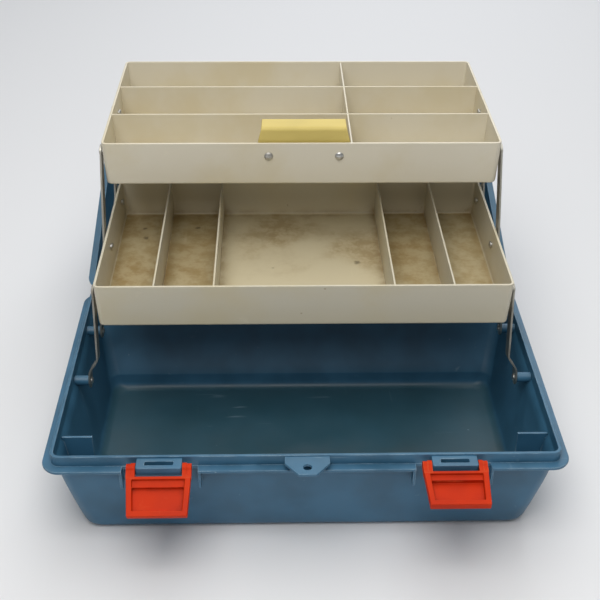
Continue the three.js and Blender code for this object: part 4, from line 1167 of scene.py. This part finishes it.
@dataclass
class Links:
    """The plated strips that carry the trays, and the rivets they turn on."""

    finishes: Finishes
    width: float = 12.0
    thickness: float = 1.5
    joggle: float = 7.4
    bend: Point = (8.5, 19.5)

    def strip(self, pivots: Sequence[Point]) -> list[Point]:
        """Return the outline of a strip through its pivots, as (y, z) points."""
        half = self.width / 2
        headings = [math.degrees(math.atan2(b[1] - a[1], b[0] - a[0])) for a, b in zip(pivots, pivots[1:])]
        points = arc(pivots[0], half, headings[0] + 90, headings[0] + 270, 14)
        if len(pivots) > 2:
            inner = math.radians((headings[0] + headings[1]) / 2 - 90)
            reach = half / math.cos(math.radians(headings[1] - headings[0]) / 2)
            elbow = (reach * math.cos(inner), reach * math.sin(inner))
            if headings[1] > headings[0]:
                points += arc(pivots[1], half, headings[0] - 90, headings[1] - 90, 4)
            else:
                points.append((pivots[1][0] + elbow[0], pivots[1][1] + elbow[1]))
        points += arc(pivots[-1], half, headings[-1] - 90, headings[-1] + 90, 14)
        if len(pivots) > 2:
            if headings[1] > headings[0]:
                points.append((pivots[1][0] - elbow[0], pivots[1][1] - elbow[1]))
            else:
                points += arc(pivots[1], half, headings[1] + 90, headings[0] + 90, 4)
        return points

    def build_strip(self, node: str, body: str, side: int, rivets: Sequence[str], joggled: bool) -> None:
        """Build one strip.

        Args:
            node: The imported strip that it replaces.
            body: The body that it rides on.
            side: -1 on the left, 1 on the right.
            rivets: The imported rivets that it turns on, from its foot up.
            joggled: Whether its foot is set sideways.
        """
        pivots = [(c.y, c.z) for c in map(centre_mm, rivets)]
        low, high = box_mm(node)
        inner = min(abs(low.x), abs(high.x))
        shape = Shape()
        shape.plate(self.strip(pivots), "X", inner, inner + self.thickness)
        foot = Vector((0, *pivots[0]))
        along = (Vector((0, *pivots[1])) - foot).normalized()
        if joggled:
            first, last = self.bend
            for place in (first - 1.5, first + 1, first + 3.5, (first + last) / 2, last - 3.5, last - 1, last + 1.5):
                shape.slice(foot + along * place, along)
            for vert in shape.bm.verts:
                share = ((vert.co - foot).dot(along) - first + 1.5) / (last - first + 3)
                share = min(max(share, 0.0), 1.0)
                vert.co.x += self.joggle * (1 - share * share * (3 - 2 * share))
        shape.soften(0.3, 2, 50)
        if side < 0:
            shape.move(shape.bm.verts, Matrix.Diagonal((-1, 1, 1, 1)))
        shape.finish(f"{node}_strip", body, self.finishes.steel, "plated_steel", [node])

    def build(self) -> None:
        """Build and dress all six strips and their rivets."""
        places = {
            "front_link": ("front_links", ("front_foot", "middle_front"), True),
            "long_link": ("long_links", ("long_foot", "middle_centre", "top_front"), True),
            "rear_link": ("rear_links", ("middle_rear", "top_rear"), False),
        }
        bodies = {"front_foot": "base", "long_foot": "base", "middle_front": "middle_tray",
                  "middle_centre": "middle_tray", "middle_rear": "middle_tray",
                  "top_front": "top_tray", "top_rear": "top_tray"}
        for name, side in SIDES.items():
            for link, (body, rivets, joggled) in places.items():
                names = [f"{where}_rivet_{name}" for where in rivets]
                self.build_strip(f"{link}_{name}", body, side, names, joggled)
            for where, body in bodies.items():
                rivet(f"{where}_rivet_{name}", body, self.finishes.rivet)


# ---------------------------------------------------------------- latches


@dataclass
class LatchLever:
    """One orange lever, drawn hanging from its pivot with its hollow side forward."""

    name: str
    material: bpy.types.Material
    tilt: float
    half_depth: float = 3.0
    halves: Point = (24.5, 22.2)
    length: float = 37.0
    border: float = 4.2
    bar: Point = (6.8, 9.2)
    shelf: float = 15.2
    lug_half: float = 17.15
    ear: float = 3.3
    pivot: Point = (-121.05, 83.2)

    def half_width(self, z: float) -> float:
        """Return half the lever's width at a height below the pivot."""
        return self.halves[0] + (self.halves[1] - self.halves[0]) * max(-z, 0.0) / self.length

    def build(self) -> None:
        """Build and dress the lever."""
        shape = Shape()
        d, tip = self.half_depth, -self.length
        body = shape.block((-1, -d, tip), (1, d, -self.bar[0]))
        for vert in body:
            vert.co.x *= self.half_width(vert.co.z)
        for z in (-self.bar[1], -self.shelf, tip + self.border):
            shape.slice((0, 0, z), (0, 0, 1))
        lean = math.atan2(self.halves[0] - self.halves[1], self.length)
        for side in SIDES.values():
            shape.slice((side * (self.halves[0] - self.border), 0, 0), (math.cos(lean), 0, -side * math.sin(lean)))
        self.sink(shape, (-self.shelf, -self.bar[1]), 2 * d - 3.6)
        self.sink(shape, (tip + self.border, -self.shelf), 2 * d - 1.8)
        shape.soften(0.7, 3, 50)
        for side in SIDES.values():
            inner, root = self.lug_half + 0.3, -self.bar[0] - 1.2
            for radius, start, end in ((4.2, inner, inner + self.ear), (3.6, inner + self.ear - 0.3, 24.2)):
                low, high = sorted((side * start, side * end))
                ear = [(d, root), *arc((0, 0), radius, -40, 220, 20), (-d, root)]
                shape.soften(0.5, 3, 50, only=shape.plate(ear, "X", low, high))
        place = Matrix.Translation((SIDES[self.name] * LATCH_X, *self.pivot))
        shape.move(shape.bm.verts, place @ Matrix.Rotation(-math.radians(self.tilt), 4, "X"))
        shape.finish(f"latch_{self.name}_lever", f"latch_{self.name}", self.material, "orange_latch",
                     [f"latch_lever_{self.name}"])

    def sink(self, shape: Shape, heights: Point, depth: float) -> None:
        """Push the middle of the lever's face in between two heights."""
        bm = shape.bm

        def wanted(face: bmesh.types.BMFace) -> bool:
            middle = face.calc_center_median()
            return (middle.y < -self.half_depth + 0.01 and heights[0] < middle.z < heights[1]
                    and abs(middle.x) < self.half_width(middle.z) - self.border)

        cells = [f for f in bm.faces if wanted(f)]
        grown = bmesh.ops.extrude_face_region(bm, geom=cells)["geom"]
        bmesh.ops.delete(bm, geom=cells, context="FACES_ONLY")
        verts = [e for e in grown if isinstance(e, bmesh.types.BMVert)]
        bmesh.ops.translate(bm, vec=(0, depth, 0), verts=verts)


# ---------------------------------------------------------------- stage


@dataclass
class Studio:
    """The pale floor, the soft lights and the camera."""

    lens: float = 63.9
    sensor: float = 36.0
    eye: tuple[float, float, float] = (-22.34, -712.78, 628.44)
    pitch: float = 33.728
    yaw: float = 1.522
    roll: float = 0.509
    floor_colour: Colour = (0.80, 0.805, 0.82)
    lights: tuple = field(default=(
        ("key", (-100, -600, 1150), (0, 0, 100), 0.8, 8.5, (1.0, 0.985, 0.96)),
        ("over", (0, 250, 1700), (0, 100, 80), 1.6, 12.0, (1.0, 0.99, 0.97)),
        ("back", (300, 1700, 1300), (0, 600, 0), 1.4, 13.0, (0.95, 0.97, 1.0)),
    ))

    def build(self) -> None:
        """Set up the floor, the world, the lights and the camera."""
        scene = bpy.context.scene
        scene.view_settings.view_transform = "Standard"
        mesh = bpy.data.meshes.new("floor")
        sheet = bmesh.new()
        bmesh.ops.create_grid(sheet, x_segments=1, y_segments=1, size=9.0)
        sheet.to_mesh(mesh)
        sheet.free()
        floor = bpy.data.objects.new("floor", mesh)
        scene.collection.objects.link(floor)
        material, _, shader = new_material("floor_paper")
        shader.inputs["Base Color"].default_value = (*self.floor_colour, 1.0)
        shader.inputs["Roughness"].default_value = 0.85
        mesh.materials.append(material)
        world = bpy.data.worlds.new("studio")
        world.use_nodes = True
        world.node_tree.nodes["Background"].inputs[0].default_value = (0.86, 0.88, 0.90, 1.0)
        world.node_tree.nodes["Background"].inputs[1].default_value = 0.26
        scene.world = world
        for name, place, target, size, power, colour in self.lights:
            self.add_light(name, Vector(place) * MM, Vector(target) * MM, size, power, colour)
        self.add_camera(scene)

    @staticmethod
    def add_light(name: str, place: Vector, target: Vector, size: float, power: float, colour: Colour) -> None:
        """Add one square area light that looks at a target."""
        data = bpy.data.lights.new(name, "AREA")
        data.size, data.energy, data.color = size, power, colour
        light = bpy.data.objects.new(name, data)
        light.location = place
        light.rotation_euler = (target - place).to_track_quat("-Z", "Y").to_euler()
        bpy.context.scene.collection.objects.link(light)

    def add_camera(self, scene: bpy.types.Scene) -> None:
        """Add the camera at its place and angle."""
        pitch, yaw, roll = (math.radians(a) for a in (self.pitch, self.yaw, self.roll))
        forward = Vector((math.sin(yaw) * math.cos(pitch), math.cos(yaw) * math.cos(pitch), -math.sin(pitch)))
        level = Vector((math.cos(yaw), -math.sin(yaw), 0.0))
        down = forward.cross(level)
        right = math.cos(roll) * level - math.sin(roll) * down
        up = -(math.sin(roll) * level + math.cos(roll) * down)
        data = bpy.data.cameras.new("camera")
        data.lens, data.sensor_width = self.lens, self.sensor
        camera = bpy.data.objects.new("camera", data)
        axes = Matrix((right, up, -forward)).transposed().to_4x4()
        camera.matrix_world = Matrix.Translation(Vector(self.eye) * MM) @ axes
        scene.collection.objects.link(camera)
        scene.camera = camera


# ---------------------------------------------------------------- the box


def make_finishes() -> Finishes:
    """Return every finish of the box as a material."""
    blue = PlasticFinish("blue_plastic", "blue_shell", colour=(0.045, 0.15, 0.255), deep=(0.03, 0.108, 0.185),
                         worn=(0.34, 0.48, 0.58), dust=0.07, scuffs=0.4, floor_shade_and_silt=0.75)
    grip = PlasticFinish("blue_grip", "blue_handle", colour=(0.045, 0.145, 0.24), deep=(0.03, 0.105, 0.18),
                         worn=(0.40, 0.5, 0.6), scuffs=0.8, edge=1.0)
    pull = PlasticFinish("yellow_plastic", "yellow_pull", colour=(0.64, 0.51, 0.16), deep=(0.58, 0.46, 0.14),
                         worn=(0.76, 0.63, 0.28), dust=0.0, scuffs=0.3, dirt=0.3, shine=0.2)
    latch = PlasticFinish("orange_plastic", "orange_latch", colour=(0.60, 0.034, 0.003), deep=(0.48, 0.024, 0.003),
                          worn=(0.72, 0.15, 0.05), dust=0.0, scuffs=0.2, dirt=0.9, roughness=0.5, shine=0.12)
    # The middle tray's cream is darker than the top tray's: painted shade on the lower tray. Its floors are also
    # more stained.
    middle = TrayFinish("cream_stained_and_shaded", "cream_tray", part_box("middle_tray")[0].z + 0.002, 1.0, 0.55,
                        colour=(0.60, 0.56, 0.445), brown_from=0.072)
    top = TrayFinish("cream_clean", "cream_tray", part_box("top_tray")[0].z + 0.002, 0.5, 0.25,
                     colour=(0.67, 0.625, 0.51))
    steel = MetalFinish("plated_strip", "plated_steel", (0.47, 0.455, 0.40), (0.24, 0.22, 0.18), 0.38)
    metal = MetalFinish("rivet_bright", "rivet_metal", (0.62, 0.62, 0.60), (0.35, 0.33, 0.29), 0.3, 0.2)
    return Finishes(blue=blue.material(), handle=grip.material(), middle=middle.material(), top=top.material(),
                    pull=pull.material(), latch=latch.material(), steel=steel.material(), rivet=metal.material())


def main() -> None:
    """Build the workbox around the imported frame."""
    logging.basicConfig(level=logging.INFO, format="%(name)s: %(message)s")
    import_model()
    finishes = make_finishes()
    Studio().build()
    BaseTub(finishes).build()
    LidShell(finishes).build()
    for name in SIDES:
        turned_piece(f"hinge_pin_{name}", "base", finishes.steel, "plated_steel")
    Tray("middle_tray", finishes.middle, across=(-120.0, -72.2, 72.2, 120.0)).build()
    dividers = [f"top_divider_{place}" for place in ("long", "1_left", "1_right", "2_left", "2_right")]
    Tray("top_tray", finishes.top, across=(41.5,), rows=3, parts=dividers).build()
    TrayPull(finishes).build()
    Links(finishes).build()
    LatchLever("left", finishes.latch, tilt=60.0).build()
    LatchLever("right", finishes.latch, tilt=80.0).build()


if __name__ == "__main__":
    main()
